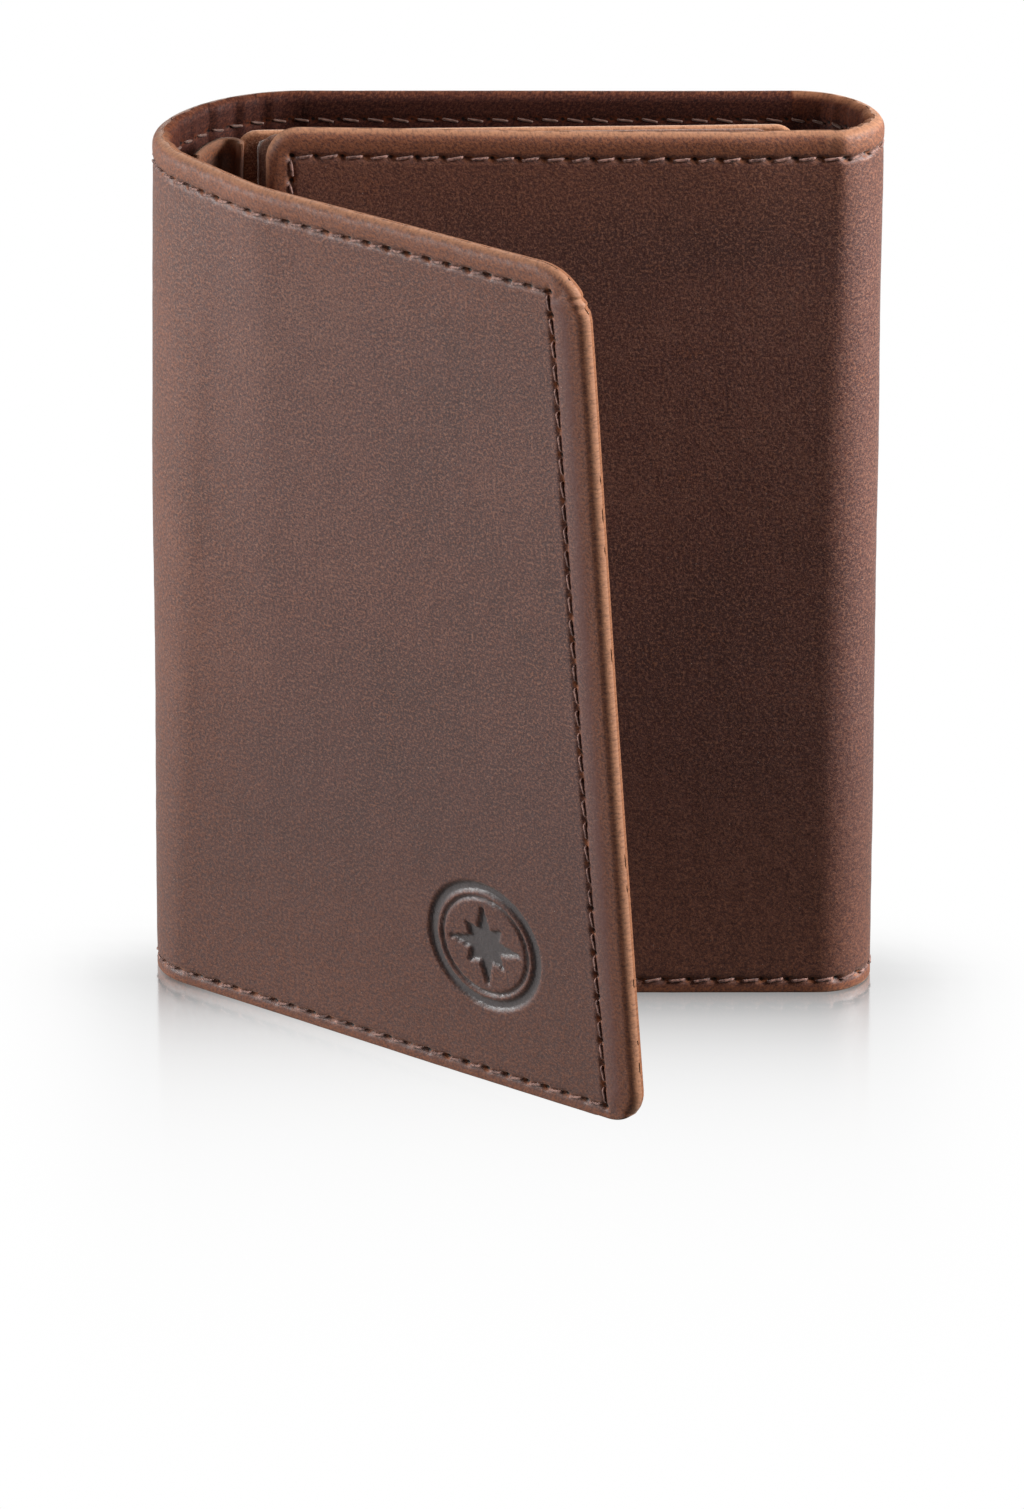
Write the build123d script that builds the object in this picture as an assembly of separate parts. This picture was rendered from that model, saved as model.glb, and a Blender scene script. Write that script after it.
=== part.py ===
from build123d import *
import math
import os

# Trifold wallet standing on its bottom edge, millimetres, +Z up.
# Origin: middle of the back panel's bottom edge, at the middle of the shell's thickness.
# +X is to the wearer's right of the back panel, +Y points out of the back.

# Driving dimensions
height = 108.0
shell_thickness = 1.2
half_shell = shell_thickness / 2
lining_thickness = 0.45
layer_gap = 0.05
hem_width = 6.0
hem_thickness = 0.7
rim_thickness = 0.9
divider_thickness = 0.8
divider_top = 103.0
pocket_thickness = 0.7
pocket_pitch = 0.75
pocket_step = 11.0
pocket_top = 94.0
pocket_floor = 3.0

# Left fold: a soft bend, tight at the bottom and wide at the top, so it is a slanted cone.
left_bottom_centre = (-35.1, -7.3)
left_bottom_radius = 7.3
left_top_centre = (-24.4, -17.2)
left_top_radius = 17.24
left_turn_start = 90.0
left_turn_end = 232.0
left_back_crease = 135.0
left_flap_crease = 206.0
left_divider_inset_bottom = 3.3
left_divider_inset_top = 4.2
left_divider_span = (140, 205)

# Right fold: two arcs of one upright bend.
right_back_centre = (32.1, -9.9)
right_back_radius = 9.9
right_front_centre = (36.1, -9.9)
right_front_radius = 5.9
right_back_crease = 45.0
right_flap_crease = -45.0
right_divider_centre = (29.0, -8.0)
right_divider_radius = 5.5

crease_trim = 0.9
inner_trim = 1.4
bite = 0.2

# The left flap also folds on a straight crease, square to its bottom edge.
flap_crease = -8.6
flap_crease_trim = 0.7
flap_layer_start = 2.2

# Panels
left_flap_reach = 45.6
right_flap_edge = -28.9
right_flap_plane = right_front_centre[1] - right_front_radius
free_corner_top = 6.5
free_corner_bottom = 4.5
right_corner = 3.8

# Layer depths, measured inward from the middle of the shell
lining_depth = half_shell + layer_gap
hem_depth = lining_depth + lining_thickness + layer_gap
divider_depth = hem_depth + hem_thickness + 0.25
pocket_depth = divider_depth + divider_thickness + layer_gap
rim_depth = half_shell - bite
rim_span = hem_depth - rim_depth + bite

# Window flap, hinged on a tab at the right-hand end of the centre stack
window_hinge = (32.2, -7.2)
window_tilt = 2.2
window_start = -0.4
window_length = 65.0
window_floor = 8.0
window_top = 106.0
window_leaf = 0.8
window_film = 0.3
window_border = 9.0
window_leaf_overhang = 2.5

# Seams
stitch_pitch = 2.9
stitch_length = 2.1
stitch_width = 0.5
stitch_proud = 0.28
top_seam = 3.1
bottom_seam = 1.9
side_seam = 4.8

heading = left_turn_end + 90
flap_along = (math.cos(math.radians(heading)), math.sin(math.radians(heading)))
flap_out = (math.cos(math.radians(left_turn_end)), math.sin(math.radians(left_turn_end)))


def left_centre(z):
    k = z / height
    x = left_bottom_centre[0] + (left_top_centre[0] - left_bottom_centre[0]) * k
    y = left_bottom_centre[1] + (left_top_centre[1] - left_bottom_centre[1]) * k
    return x, y


def left_radius(z):
    return left_bottom_radius + (left_top_radius - left_bottom_radius) * z / height


def on_circle(centre, radius, angle, z):
    a = math.radians(angle)
    return Vector(centre[0] + radius * math.cos(a), centre[1] + radius * math.sin(a), z)


def sector_wire(centre, inner, outer, start, end, z):
    middle = (start + end) / 2
    far = ThreePointArc(
        on_circle(centre, outer, start, z),
        on_circle(centre, outer, middle, z),
        on_circle(centre, outer, end, z),
    )
    near = ThreePointArc(
        on_circle(centre, inner, end, z),
        on_circle(centre, inner, middle, z),
        on_circle(centre, inner, start, z),
    )
    return Wire([far, Line(far @ 1, near @ 0), near, Line(near @ 1, far @ 0)])


def left_strip(depth, thickness, start, end, z0, z1, trim_start=0.0, trim_end=0.0):
    """Curved strip in the left fold: depth is inward from the shell's middle."""
    wires = []
    for z in (z0, z1):
        outer = left_radius(z) - depth
        inner = outer - thickness
        a0 = start + math.degrees(trim_start / left_radius(z))
        a1 = end - math.degrees(trim_end / left_radius(z))
        wires.append(sector_wire(left_centre(z), inner, outer, a0, a1, z))
    return Solid.make_loft(wires, ruled=True)


def right_strip(depth, thickness, start, end, z0, z1):
    """Upright curved strip in the right fold, between two angles on its two arcs."""
    pieces = []
    if start > 0:
        outer = right_back_radius - depth
        low = max(end, 0.0)
        wire = sector_wire(right_back_centre, outer - thickness, outer, start, low, z0)
        pieces.append(extrude(Face(wire), z1 - z0, dir=(0, 0, 1)))
    if end < 0:
        outer = right_front_radius - depth
        high = min(start, 0.0)
        wire = sector_wire(right_front_centre, outer - thickness, outer, high, end, z0)
        pieces.append(extrude(Face(wire), z1 - z0, dir=(0, 0, 1)))
    return join(pieces)


def join(pieces):
    result = pieces[0]
    for piece in pieces[1:]:
        result = result + piece
    return result


def block(x0, x1, y0, y1, z0, z1):
    size = Box(x1 - x0, y1 - y0, z1 - z0, align=(Align.MIN, Align.MIN, Align.MIN))
    return Pos(x0, y0, z0) * size


def back_plate(depth, thickness, z0, z1, right_end):
    """Flat back layer whose left end follows the slanted fold."""
    corners = [
        Vector(left_centre(z0)[0], -depth, z0),
        Vector(right_end, -depth, z0),
        Vector(right_end, -depth, z1),
        Vector(left_centre(z1)[0], -depth, z1),
    ]
    outline = Face(Wire.make_polygon(corners, close=True))
    return extrude(outline, thickness, dir=(0, -1, 0))


# The left flap lies in a plane that touches the cone, so it leans outward a little at its top.
flap_foot = (
    flap_out[0] * left_bottom_centre[0] + flap_out[1] * left_bottom_centre[1] + left_bottom_radius
)
flap_head = flap_out[0] * left_top_centre[0] + flap_out[1] * left_top_centre[1] + left_top_radius
flap_lean = math.atan2(flap_head - flap_foot, height)
flap_height = height / math.cos(flap_lean)
flap_plane = Plane(
    origin=(flap_out[0] * flap_foot, flap_out[1] * flap_foot, 0),
    x_dir=(flap_along[0], flap_along[1], 0),
    z_dir=(
        flap_out[0] * math.cos(flap_lean),
        flap_out[1] * math.cos(flap_lean),
        -math.sin(flap_lean),
    ),
)
flap_root_bottom = flap_along[0] * left_bottom_centre[0] + flap_along[1] * left_bottom_centre[1]
flap_root_top = flap_along[0] * left_top_centre[0] + flap_along[1] * left_top_centre[1]


def flap_root(t):
    return flap_root_bottom + (flap_root_top - flap_root_bottom) * t / flap_height


def flap_plate(depth, thickness, start, reach, t0, t1, corners=(0.0, 0.0)):
    """Flat layer of the left flap: start to reach runs along it, t is up in its plane."""
    size = Box(reach - start, t1 - t0, thickness, align=(Align.MIN, Align.MIN, Align.MIN))
    plate = Pos(start, t0, -depth - thickness) * size
    if corners[0] > 0:
        upright = plate.edges().filter_by(Axis.Z)
        free_edges = upright.filter_by(lambda edge: edge.center().X > reach - 0.01)
        plate = fillet([free_edges.sort_by(Axis.Y)[0]], corners[0])
        upright = plate.edges().filter_by(Axis.Z)
        top_edges = upright.filter_by(lambda edge: edge.center().Y > t1 - 0.01)
        plate = fillet([top_edges.sort_by(Axis.X)[-1]], corners[1])
    return flap_plane * plate


def right_plate(depth, thickness, edge, z0, z1, start=None, corner=0.0):
    """Flat layer of the right flap; depth is inward (towards the back) from the shell's middle."""
    y0 = right_flap_plane + depth
    x1 = right_front_centre[0] if start is None else start
    plate = block(edge, x1, y0, y0 + thickness, z0, z1)
    if corner > 0:
        across = plate.edges().filter_by(Axis.Y)
        free_edges = across.filter_by(lambda item: item.center().X < edge + 0.01)
        plate = fillet(free_edges, corner)
    return plate


# Shell: one strip of leather in life, cut at its creases so that each length is rigid.
def make_back_shell():
    flat = back_plate(-half_shell, shell_thickness, 0, height, right_back_centre[0])
    left = left_strip(
        -half_shell, shell_thickness, left_turn_start, left_back_crease, 0, height, 0, crease_trim
    )
    right_limit = right_back_crease + math.degrees(crease_trim / right_back_radius)
    right = right_strip(-half_shell, shell_thickness, left_turn_start, right_limit, 0, height)
    lip = back_plate(hem_depth, hem_thickness, height - hem_width, height, right_back_centre[0])
    rim = back_plate(rim_depth, rim_span, height - rim_thickness, height, right_back_centre[0])
    return join([flat, left, right, rim, lip])


def make_left_spine_shell():
    start, end = left_back_crease, left_flap_crease
    skin = left_strip(
        -half_shell, shell_thickness, start, end, 0, height, crease_trim, crease_trim
    )
    rim = left_strip(rim_depth, rim_span, start, end, height - rim_thickness,
                     height, inner_trim, inner_trim)
    lip = left_strip(hem_depth, hem_thickness, start, end, height - hem_width, height,
                     inner_trim, inner_trim)
    return join([skin, rim, lip])


def left_root_layer(depth, thickness, z0, z1, trim):
    """Layer between the slanted bend and the straight crease of the left flap."""
    bend = left_strip(depth, thickness, left_flap_crease, left_turn_end, z0, z1, trim, 0)
    beyond = flap_crease + 5.0
    outline = Polyline(
        (flap_root(z0) - bite, z0), (beyond, z0), (beyond, z1), (flap_root(z1) - bite, z1),
        close=True,
    )
    flat = flap_plane * (Pos(0, 0, -depth - thickness) * extrude(make_face(outline), thickness))
    cut = flap_plate(-5, 30, flap_crease - trim, flap_crease + 40, -5, flap_height + 5)
    return join([bend, flat]) - cut


def make_left_root_shell():
    skin = left_root_layer(-half_shell, shell_thickness, 0.06, height, crease_trim)
    rim = left_strip(rim_depth, rim_span, left_flap_crease, left_turn_end,
                     height - rim_thickness, height, inner_trim, inner_trim)
    lip = left_strip(hem_depth, hem_thickness, left_flap_crease, left_turn_end,
                     height - hem_width, height, inner_trim, inner_trim)
    return join([skin, rim, lip])


def make_left_flap_shell():
    start = flap_crease + flap_crease_trim
    rounded = (free_corner_bottom, free_corner_top)
    flat = flap_plate(-half_shell, shell_thickness, start, left_flap_reach, 0.06, flap_height,
                      rounded)
    keeper = flap_plate(-5, 20, start, left_flap_reach, 0.06, flap_height, rounded)
    inner = flap_crease + flap_layer_start
    side_in = left_flap_reach - rim_thickness
    top_rim = flap_plate(rim_depth, rim_span, inner, left_flap_reach,
                         flap_height - rim_thickness, flap_height)
    top_lip = flap_plate(hem_depth, hem_thickness, inner, left_flap_reach,
                         flap_height - hem_width, flap_height)
    side_rim = flap_plate(rim_depth, rim_span, side_in, left_flap_reach, 0.06, flap_height)
    side_lip = flap_plate(hem_depth, hem_thickness, left_flap_reach - hem_width,
                          left_flap_reach, 0.06, flap_height)
    turned = join([top_rim, top_lip, side_rim, side_lip]) & keeper
    return join([flat, turned])


def make_right_spine_shell():
    start = right_back_crease - math.degrees(crease_trim / right_back_radius)
    end = right_flap_crease + math.degrees(crease_trim / right_front_radius)
    inner_start = right_back_crease - math.degrees(inner_trim / right_back_radius)
    inner_end = right_flap_crease + math.degrees(inner_trim / right_front_radius)
    skin = right_strip(-half_shell, shell_thickness, start, end, 0, height)
    rim = right_strip(rim_depth, rim_span, inner_start, inner_end, height - rim_thickness, height)
    lip = right_strip(hem_depth, hem_thickness, inner_start, inner_end,
                      height - hem_width, height)
    return join([skin, rim, lip])


def make_right_flap_shell():
    start = right_flap_crease - math.degrees(crease_trim / right_front_radius)
    bend = right_strip(-half_shell, shell_thickness, start, -90, 0, height)
    flat = right_plate(-half_shell, shell_thickness, right_flap_edge, 0, height, None,
                       right_corner)
    rim = right_plate(rim_depth, rim_span, right_flap_edge, height - rim_thickness, height)
    lip = right_plate(hem_depth, hem_thickness, right_flap_edge, height - hem_width, height)
    side_rim = right_plate(rim_depth, rim_span, right_flap_edge, 0, height,
                           right_flap_edge + rim_thickness)
    side_lip = right_plate(hem_depth, hem_thickness, right_flap_edge, 0, height,
                           right_flap_edge + hem_width)
    keeper = right_plate(-5, 20, right_flap_edge, 0, height, None, right_corner)
    turned = join([rim, lip, side_rim, side_lip]) & keeper
    return join([bend, flat, turned])


# Linings: thin cloth glued behind the shell, tucked under its turned edges.
lining_top = height - rim_thickness - 0.1
lining_floor = 1.0


def make_back_lining():
    return back_plate(lining_depth, lining_thickness, lining_floor, lining_top,
                      right_back_centre[0])


def make_left_spine_lining():
    return left_strip(lining_depth, lining_thickness, left_back_crease, left_flap_crease,
                      lining_floor, lining_top, inner_trim, inner_trim)


def make_left_root_lining():
    return left_root_layer(lining_depth, lining_thickness, lining_floor,
                           height - hem_width - 1.0, inner_trim)


def make_left_flap_lining():
    return flap_plate(lining_depth, lining_thickness, flap_crease + flap_layer_start,
                      left_flap_reach - rim_thickness - 0.1,
                      lining_floor, flap_height - rim_thickness - 0.1)


def make_right_spine_lining():
    start = right_back_crease - math.degrees(inner_trim / right_back_radius)
    end = right_flap_crease + math.degrees(inner_trim / right_front_radius)
    return right_strip(lining_depth, lining_thickness, start, end, lining_floor, lining_top)


def make_right_flap_lining():
    return right_plate(lining_depth, lining_thickness, right_flap_edge + rim_thickness + 0.1,
                       lining_floor, lining_top)


# Dividers: the leather wall between the note compartment and the card pockets.
centre_left = -29.0
centre_right = 29.0


def make_centre_divider():
    y1 = -divider_depth
    return block(centre_left, centre_right, y1 - divider_thickness, y1, 1.0, divider_top)


def make_left_spine_divider():
    wires = []
    for z in (1.0, divider_top):
        k = z / height
        inset = left_divider_inset_bottom + (
            left_divider_inset_top - left_divider_inset_bottom) * k
        outer = left_radius(z) - inset
        inner = outer - divider_thickness
        wires.append(sector_wire(left_centre(z), inner, outer, *left_divider_span, z))
    return Solid.make_loft(wires, ruled=True)


def make_left_root_divider():
    end = flap_crease - inner_trim
    low = flap_root(1.0) + 2.0
    tip = flap_height * (end - 2.0 - flap_root_bottom) / (flap_root_top - flap_root_bottom)
    outline = Polyline((low, 1.0), (end, 1.0), (end, tip), close=True)
    wall = extrude(make_face(outline), divider_thickness)
    return flap_plane * (Pos(0, 0, -divider_depth - divider_thickness) * wall)


def make_left_flap_divider():
    return flap_plate(divider_depth, divider_thickness, flap_crease + flap_layer_start,
                      left_flap_reach - 2.4, 1.0, divider_top)


def make_right_spine_divider():
    outer = right_divider_radius + divider_thickness / 2
    inner = outer - divider_thickness
    wire = sector_wire(right_divider_centre, inner, outer, 52, -52, 1.0)
    return extrude(Face(wire), divider_top - 1.0, dir=(0, 0, 1))


def make_right_flap_divider():
    return right_plate(divider_depth, divider_thickness, right_flap_edge + 1.0,
                       1.0, divider_top, centre_right)


# Card pockets: leather fronts, each lower and nearer the user than the one behind it.
def pocket_height(index):
    return pocket_top - pocket_step * index


def make_centre_pocket(index):
    y1 = -(pocket_depth + pocket_pitch * index)
    return block(centre_left, centre_right, y1 - pocket_thickness, y1,
                 pocket_floor - index * 0.5, pocket_height(index))


def make_left_pocket(index):
    depth = pocket_depth + pocket_pitch * index
    return flap_plate(depth, pocket_thickness, flap_crease + flap_layer_start + 0.6,
                      left_flap_reach - hem_width - 0.4,
                      pocket_floor - index * 0.5, pocket_height(index))


def make_right_pocket(index):
    depth = pocket_depth + pocket_pitch * index
    return right_plate(depth, pocket_thickness, right_flap_edge + hem_width + 0.4,
                       pocket_floor - index * 0.5, pocket_height(index), centre_right)


# Window flap: two leather leaves with a clear film between them, hinged on a sewn tab.
def window_place(x0, x1, y0, y1, z0, z1):
    """Block laid out from the hinge: x runs along the flap, y towards the back."""
    body = block(-x1, -x0, y0, y1, z0, z1)
    return Pos(window_hinge[0], window_hinge[1], 0) * Rot(0, 0, window_tilt) * body


def window_hole(y0, y1):
    margin = window_border
    return window_place(window_start + margin, window_start + window_length - margin,
                        y0, y1, window_floor + margin, window_top - margin)


def make_window_back_leaf():
    return window_place(window_start, window_start + window_length, 0.2, 0.2 + window_leaf,
                        window_floor, window_top)


def make_window_front_frame():
    y1 = -window_film - 0.15
    frame = window_place(window_start + window_leaf_overhang,
                         window_start + window_length - window_leaf_overhang,
                         y1 - window_leaf, y1, window_floor, window_top)
    return frame - window_hole(-5, 5)


def make_window_film():
    return window_place(window_start + 1.0, window_start + window_length - 1.0,
                        -window_film - 0.1, -0.1, window_floor + 1.0, window_top - 0.6)


def make_window_tab():
    front = window_hinge[1] + 1.2
    rear = -(pocket_depth + pocket_pitch * 2 + pocket_thickness) - layer_gap
    return block(centre_right - 5.0, centre_right + 2.6, front, rear, window_floor + 2,
                 window_top - 4)


# Seams: each stitch is its own short bar lying on the leather.
def stitch():
    bar = Box(stitch_length, stitch_width, stitch_proud,
              align=(Align.CENTER, Align.CENTER, Align.MIN))
    ends = bar.edges().filter_by(Axis.Z)
    return fillet(ends, stitch_width * 0.42)


def run_of(length):
    count = max(int(length // stitch_pitch), 1)
    first = (length - (count - 1) * stitch_pitch) / 2
    return [first + i * stitch_pitch for i in range(count)]


def lay(bars):
    return Compound(children=bars)


def make_back_stitching():
    bars = []
    for z in (bottom_seam, height - top_seam):
        left_end = left_centre(z)[0]
        for x in run_of(right_back_centre[0] - left_end):
            face = Plane(origin=(left_end + x, half_shell + 0.01, z), x_dir=(1, 0, 0),
                         z_dir=(0, 1, 0))
            bars.append(face * stitch())
        left_outer = left_radius(z) + half_shell + 0.12
        left_stop = left_back_crease - math.degrees(1.2 / left_outer)
        bars += curved_bars(left_centre(z), left_outer, left_turn_start, left_stop, z)
        right_outer = right_back_radius + half_shell
        right_stop = right_back_crease + math.degrees(1.0 / right_outer)
        bars += curved_bars(right_back_centre, right_outer, 90, right_stop, z)
    return lay(bars)


def curved_bars(centre, radius, start, end, z, lean=0.0):
    """Bars round an upright or slanted bend, laid flat against it."""
    bars = []
    span = math.radians(abs(end - start)) * radius
    sense = 1 if end > start else -1
    for s in run_of(span):
        angle = start + sense * math.degrees(s / radius)
        a = math.radians(angle)
        out = (math.cos(a) * math.cos(lean), math.sin(a) * math.cos(lean), -math.sin(lean))
        along = (-math.sin(a), math.cos(a), 0)
        face = Plane(origin=on_circle(centre, radius + 0.03, angle, z), x_dir=along, z_dir=out)
        bars.append(face * stitch())
    return bars


def make_left_spine_stitching():
    bars = []
    for z in (bottom_seam, height - top_seam):
        radius = left_radius(z) + half_shell + 0.12
        start = left_back_crease + math.degrees(1.2 / radius)
        end = left_flap_crease - math.degrees(1.2 / radius)
        bars += curved_bars(left_centre(z), radius, start, end, z, flap_lean / 2)
    return lay(bars)


def make_right_spine_stitching():
    bars = []
    trim = 1.0
    for z in (bottom_seam, height - top_seam):
        outer_back = right_back_radius + half_shell
        outer_front = right_front_radius + half_shell
        bars += curved_bars(right_back_centre, outer_back,
                            right_back_crease - math.degrees(trim / outer_back), 0, z)
        bars += curved_bars(right_front_centre, outer_front, 0,
                            right_flap_crease + math.degrees(trim / outer_front), z)
    return lay(bars)


def make_left_root_stitching():
    bars = []
    for z in (bottom_seam, height - top_seam):
        radius = left_radius(z) + half_shell + 0.12
        start = left_flap_crease + math.degrees(1.2 / radius)
        end = left_turn_end - math.degrees(1.2 / radius)
        bars += curved_bars(left_centre(z), radius, start, end, z, flap_lean)
    start = flap_root(bottom_seam)
    for s in run_of(flap_crease - 1.0 - start):
        place = Pos(start + s, bottom_seam, half_shell + 0.01)
        bars.append(flap_plane * (place * stitch()))
    return lay(bars)


def make_left_flap_stitching():
    bars = []
    side = left_flap_reach - side_seam
    top = flap_height - top_seam
    start = flap_crease + 1.0
    for t in (bottom_seam, top):
        for s in run_of(side - start):
            place = Pos(start + s, t, half_shell + 0.01)
            bars.append(flap_plane * (place * stitch()))
    for t in run_of(top - bottom_seam - stitch_pitch):
        place = Pos(side, bottom_seam + stitch_pitch / 2 + t, half_shell + 0.01)
        bars.append(flap_plane * (place * Rot(0, 0, 90) * stitch()))
    return lay(bars)


def make_right_flap_stitching():
    bars = []
    outer = right_flap_plane - half_shell - 0.01
    side = right_flap_edge + top_seam
    top = height - top_seam
    for z in (bottom_seam, top):
        for s in run_of(right_front_centre[0] - side):
            face = Plane(origin=(side + s, outer, z), x_dir=(1, 0, 0), z_dir=(0, -1, 0))
            bars.append(face * stitch())
    for t in run_of(top - bottom_seam - stitch_pitch):
        z = bottom_seam + stitch_pitch / 2 + t
        face = Plane(origin=(side, outer, z), x_dir=(0, 0, 1), z_dir=(0, -1, 0))
        bars.append(face * stitch())
    return lay(bars)


nodes = {
    "back_shell": make_back_shell(),
    "back_lining": make_back_lining(),
    "centre_divider": make_centre_divider(),
    "window_hinge_tab": make_window_tab(),
    "back_stitching": make_back_stitching(),
    "left_spine_shell": make_left_spine_shell(),
    "left_spine_lining": make_left_spine_lining(),
    "left_spine_divider": make_left_spine_divider(),
    "left_spine_stitching": make_left_spine_stitching(),
    "left_root_shell": make_left_root_shell(),
    "left_root_lining": make_left_root_lining(),
    "left_root_divider": make_left_root_divider(),
    "left_root_stitching": make_left_root_stitching(),
    "left_flap_shell": make_left_flap_shell(),
    "left_flap_lining": make_left_flap_lining(),
    "left_flap_divider": make_left_flap_divider(),
    "left_flap_stitching": make_left_flap_stitching(),
    "right_spine_shell": make_right_spine_shell(),
    "right_spine_lining": make_right_spine_lining(),
    "right_spine_divider": make_right_spine_divider(),
    "right_spine_stitching": make_right_spine_stitching(),
    "right_flap_shell": make_right_flap_shell(),
    "right_flap_lining": make_right_flap_lining(),
    "right_flap_divider": make_right_flap_divider(),
    "right_flap_stitching": make_right_flap_stitching(),
    "window_back_leaf": make_window_back_leaf(),
    "window_front_frame": make_window_front_frame(),
    "window_film": make_window_film(),
}
for index in range(3):
    nodes[f"centre_pocket_{index + 1}"] = make_centre_pocket(index)
    nodes[f"left_pocket_{index + 1}"] = make_left_pocket(index)
for index in range(2):
    nodes[f"right_pocket_{index + 1}"] = make_right_pocket(index)

os.makedirs("parts", exist_ok=True)
for name, solid in nodes.items():
    export_step(solid, f"parts/{name}.step")
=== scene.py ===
import bpy
import math
import numpy as np
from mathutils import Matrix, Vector, noise


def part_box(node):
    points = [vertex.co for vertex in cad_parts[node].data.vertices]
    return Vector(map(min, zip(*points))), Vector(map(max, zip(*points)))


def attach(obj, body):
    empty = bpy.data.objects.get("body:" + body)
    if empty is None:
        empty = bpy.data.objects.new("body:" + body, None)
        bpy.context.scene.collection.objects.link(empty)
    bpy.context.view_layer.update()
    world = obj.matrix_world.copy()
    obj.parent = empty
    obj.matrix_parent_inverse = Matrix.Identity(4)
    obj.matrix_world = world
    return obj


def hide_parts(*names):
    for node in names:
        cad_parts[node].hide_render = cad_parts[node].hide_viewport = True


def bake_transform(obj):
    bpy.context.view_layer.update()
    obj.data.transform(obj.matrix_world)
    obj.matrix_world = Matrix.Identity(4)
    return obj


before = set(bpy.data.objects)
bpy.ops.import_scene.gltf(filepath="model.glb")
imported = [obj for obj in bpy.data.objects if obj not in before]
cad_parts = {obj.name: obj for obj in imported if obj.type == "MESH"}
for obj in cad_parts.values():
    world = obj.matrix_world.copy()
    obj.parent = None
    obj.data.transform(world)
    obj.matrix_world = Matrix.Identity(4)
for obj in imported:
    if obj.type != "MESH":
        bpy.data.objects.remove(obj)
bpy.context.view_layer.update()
print("stage: frame loaded", len(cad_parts), "nodes")

mm = 0.001

# Where the leather runs, in millimetres.
shell = {
    "height": 108.0,
    "halfThick": 0.6,
    "bottomCentre": (-35.1, -7.3), "bottomRadius": 7.3,     # left fold at the table
    "topCentre": (-24.4, -17.2), "topRadius": 17.24,        # left fold at the rim
    "flapAngle": 232.0, "rootAngle": 206.0, "spineAngle": 170.5, "backAngle": 135.0,
    "flapEdge": 45.6, "flapCrease": -8.6,
    "rightBack": (32.1, -9.9), "rightBackRadius": 9.9,
    "rightFront": (36.1, -9.9), "rightFrontRadius": 5.9,
    "rightEdge": -28.9, "rightPlane": -15.8,
    "hemWidth": 6.0, "hemDepth": 1.65, "edgeRound": 1.12,
    "topCorner": 6.5, "bottomCorner": 4.5, "rightCorner": 3.8,
}
wallHeight, halfThick = shell["height"], shell["halfThick"]
outAngle = math.radians(shell["flapAngle"])
flapOut = np.array([math.cos(outAngle), math.sin(outAngle)])
flapAlong = np.array([-flapOut[1], flapOut[0]])


def foldCentre(z):
    k = np.asarray(z, float) / wallHeight
    b, t = shell["bottomCentre"], shell["topCentre"]
    return b[0] + (t[0] - b[0]) * k, b[1] + (t[1] - b[1]) * k


def foldRadius(z):
    return (shell["bottomRadius"]
            + (shell["topRadius"] - shell["bottomRadius"]) * np.asarray(z, float) / wallHeight)


def flapLevel(z):       # how far the flap's plane lies out from the origin
    cx, cy = foldCentre(z)
    return flapOut[0] * cx + flapOut[1] * cy + foldRadius(z)


def flapRoot(z):        # where the soft bend meets the flat of the flap
    cx, cy = foldCentre(z)
    return flapAlong[0] * cx + flapAlong[1] * cy


def smooth(x):
    x = np.clip(x, 0.0, 1.0)
    return x * x * (3 - 2 * x)


def onArc(cx, cy, radius, degrees):
    a = np.radians(degrees)
    nx, ny = np.cos(a), np.sin(a)
    return cx + radius * nx, cy + radius * ny, nx, ny


def shellAt(kind, value, z):
    # middle of the leather and its outward direction; value is a length, an angle or a share
    z = np.asarray(z, float)
    value = np.broadcast_to(np.asarray(value, float), z.shape)
    if kind == "flap":
        level = flapLevel(z)
        x = flapAlong[0] * value + flapOut[0] * level
        y = flapAlong[1] * value + flapOut[1] * level
        return x, y, np.full_like(x, flapOut[0]), np.full_like(x, flapOut[1])
    if kind == "root":
        bend = math.radians(shell["flapAngle"] - shell["rootAngle"]) * foldRadius(z)
        flat = shell["flapCrease"] - flapRoot(z)
        run = value * (bend + flat)
        cx, cy = foldCentre(z)
        turn = shell["rootAngle"] + np.degrees(np.minimum(run, bend) / foldRadius(z))
        x, y, nx, ny = onArc(cx, cy, foldRadius(z), turn)
        more = np.maximum(run - bend, 0)
        return x + flapAlong[0] * more, y + flapAlong[1] * more, nx, ny
    if kind == "leftArc":
        cx, cy = foldCentre(z)
        return onArc(cx, cy, foldRadius(z), value)
    if kind == "back":
        left = foldCentre(z)[0]
        x = left + (shell["rightBack"][0] - left) * value
        return x, np.zeros_like(x), np.zeros_like(x), np.ones_like(x)
    if kind == "rightArc":
        c = shell["rightBack"]
        return onArc(c[0] + 0 * z, c[1] + 0 * z, shell["rightBackRadius"], value)
    if kind == "frontArc":
        c = shell["rightFront"]
        return onArc(c[0] + 0 * z, c[1] + 0 * z, shell["rightFrontRadius"], value)
    x = value + 0 * z
    return x, np.full_like(x, shell["rightPlane"]), np.zeros_like(x), -np.ones_like(x)


# Soft shape: how the leather leaves its plain folds.
softness = {
    "foldTuck": 2.0,        # the wide top of the left fold flattens before it meets the flap
    "rightLean": 1.5,       # the right flap's loose corner leans back at the rim
    "rightRound": 1.5,      # the right fold is rounder at its top front corner
    "waviness": 0.22,
    "creaseDepth": 0.22,    # upright creases inside both folds
}


def wave(x, y, z, scale):
    return np.array([noise.noise(Vector((a / scale, b / scale, c / scale)))
                     for a, b, c in zip(np.ravel(x), np.ravel(y), np.ravel(z))]).reshape(np.shape(x))


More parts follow.
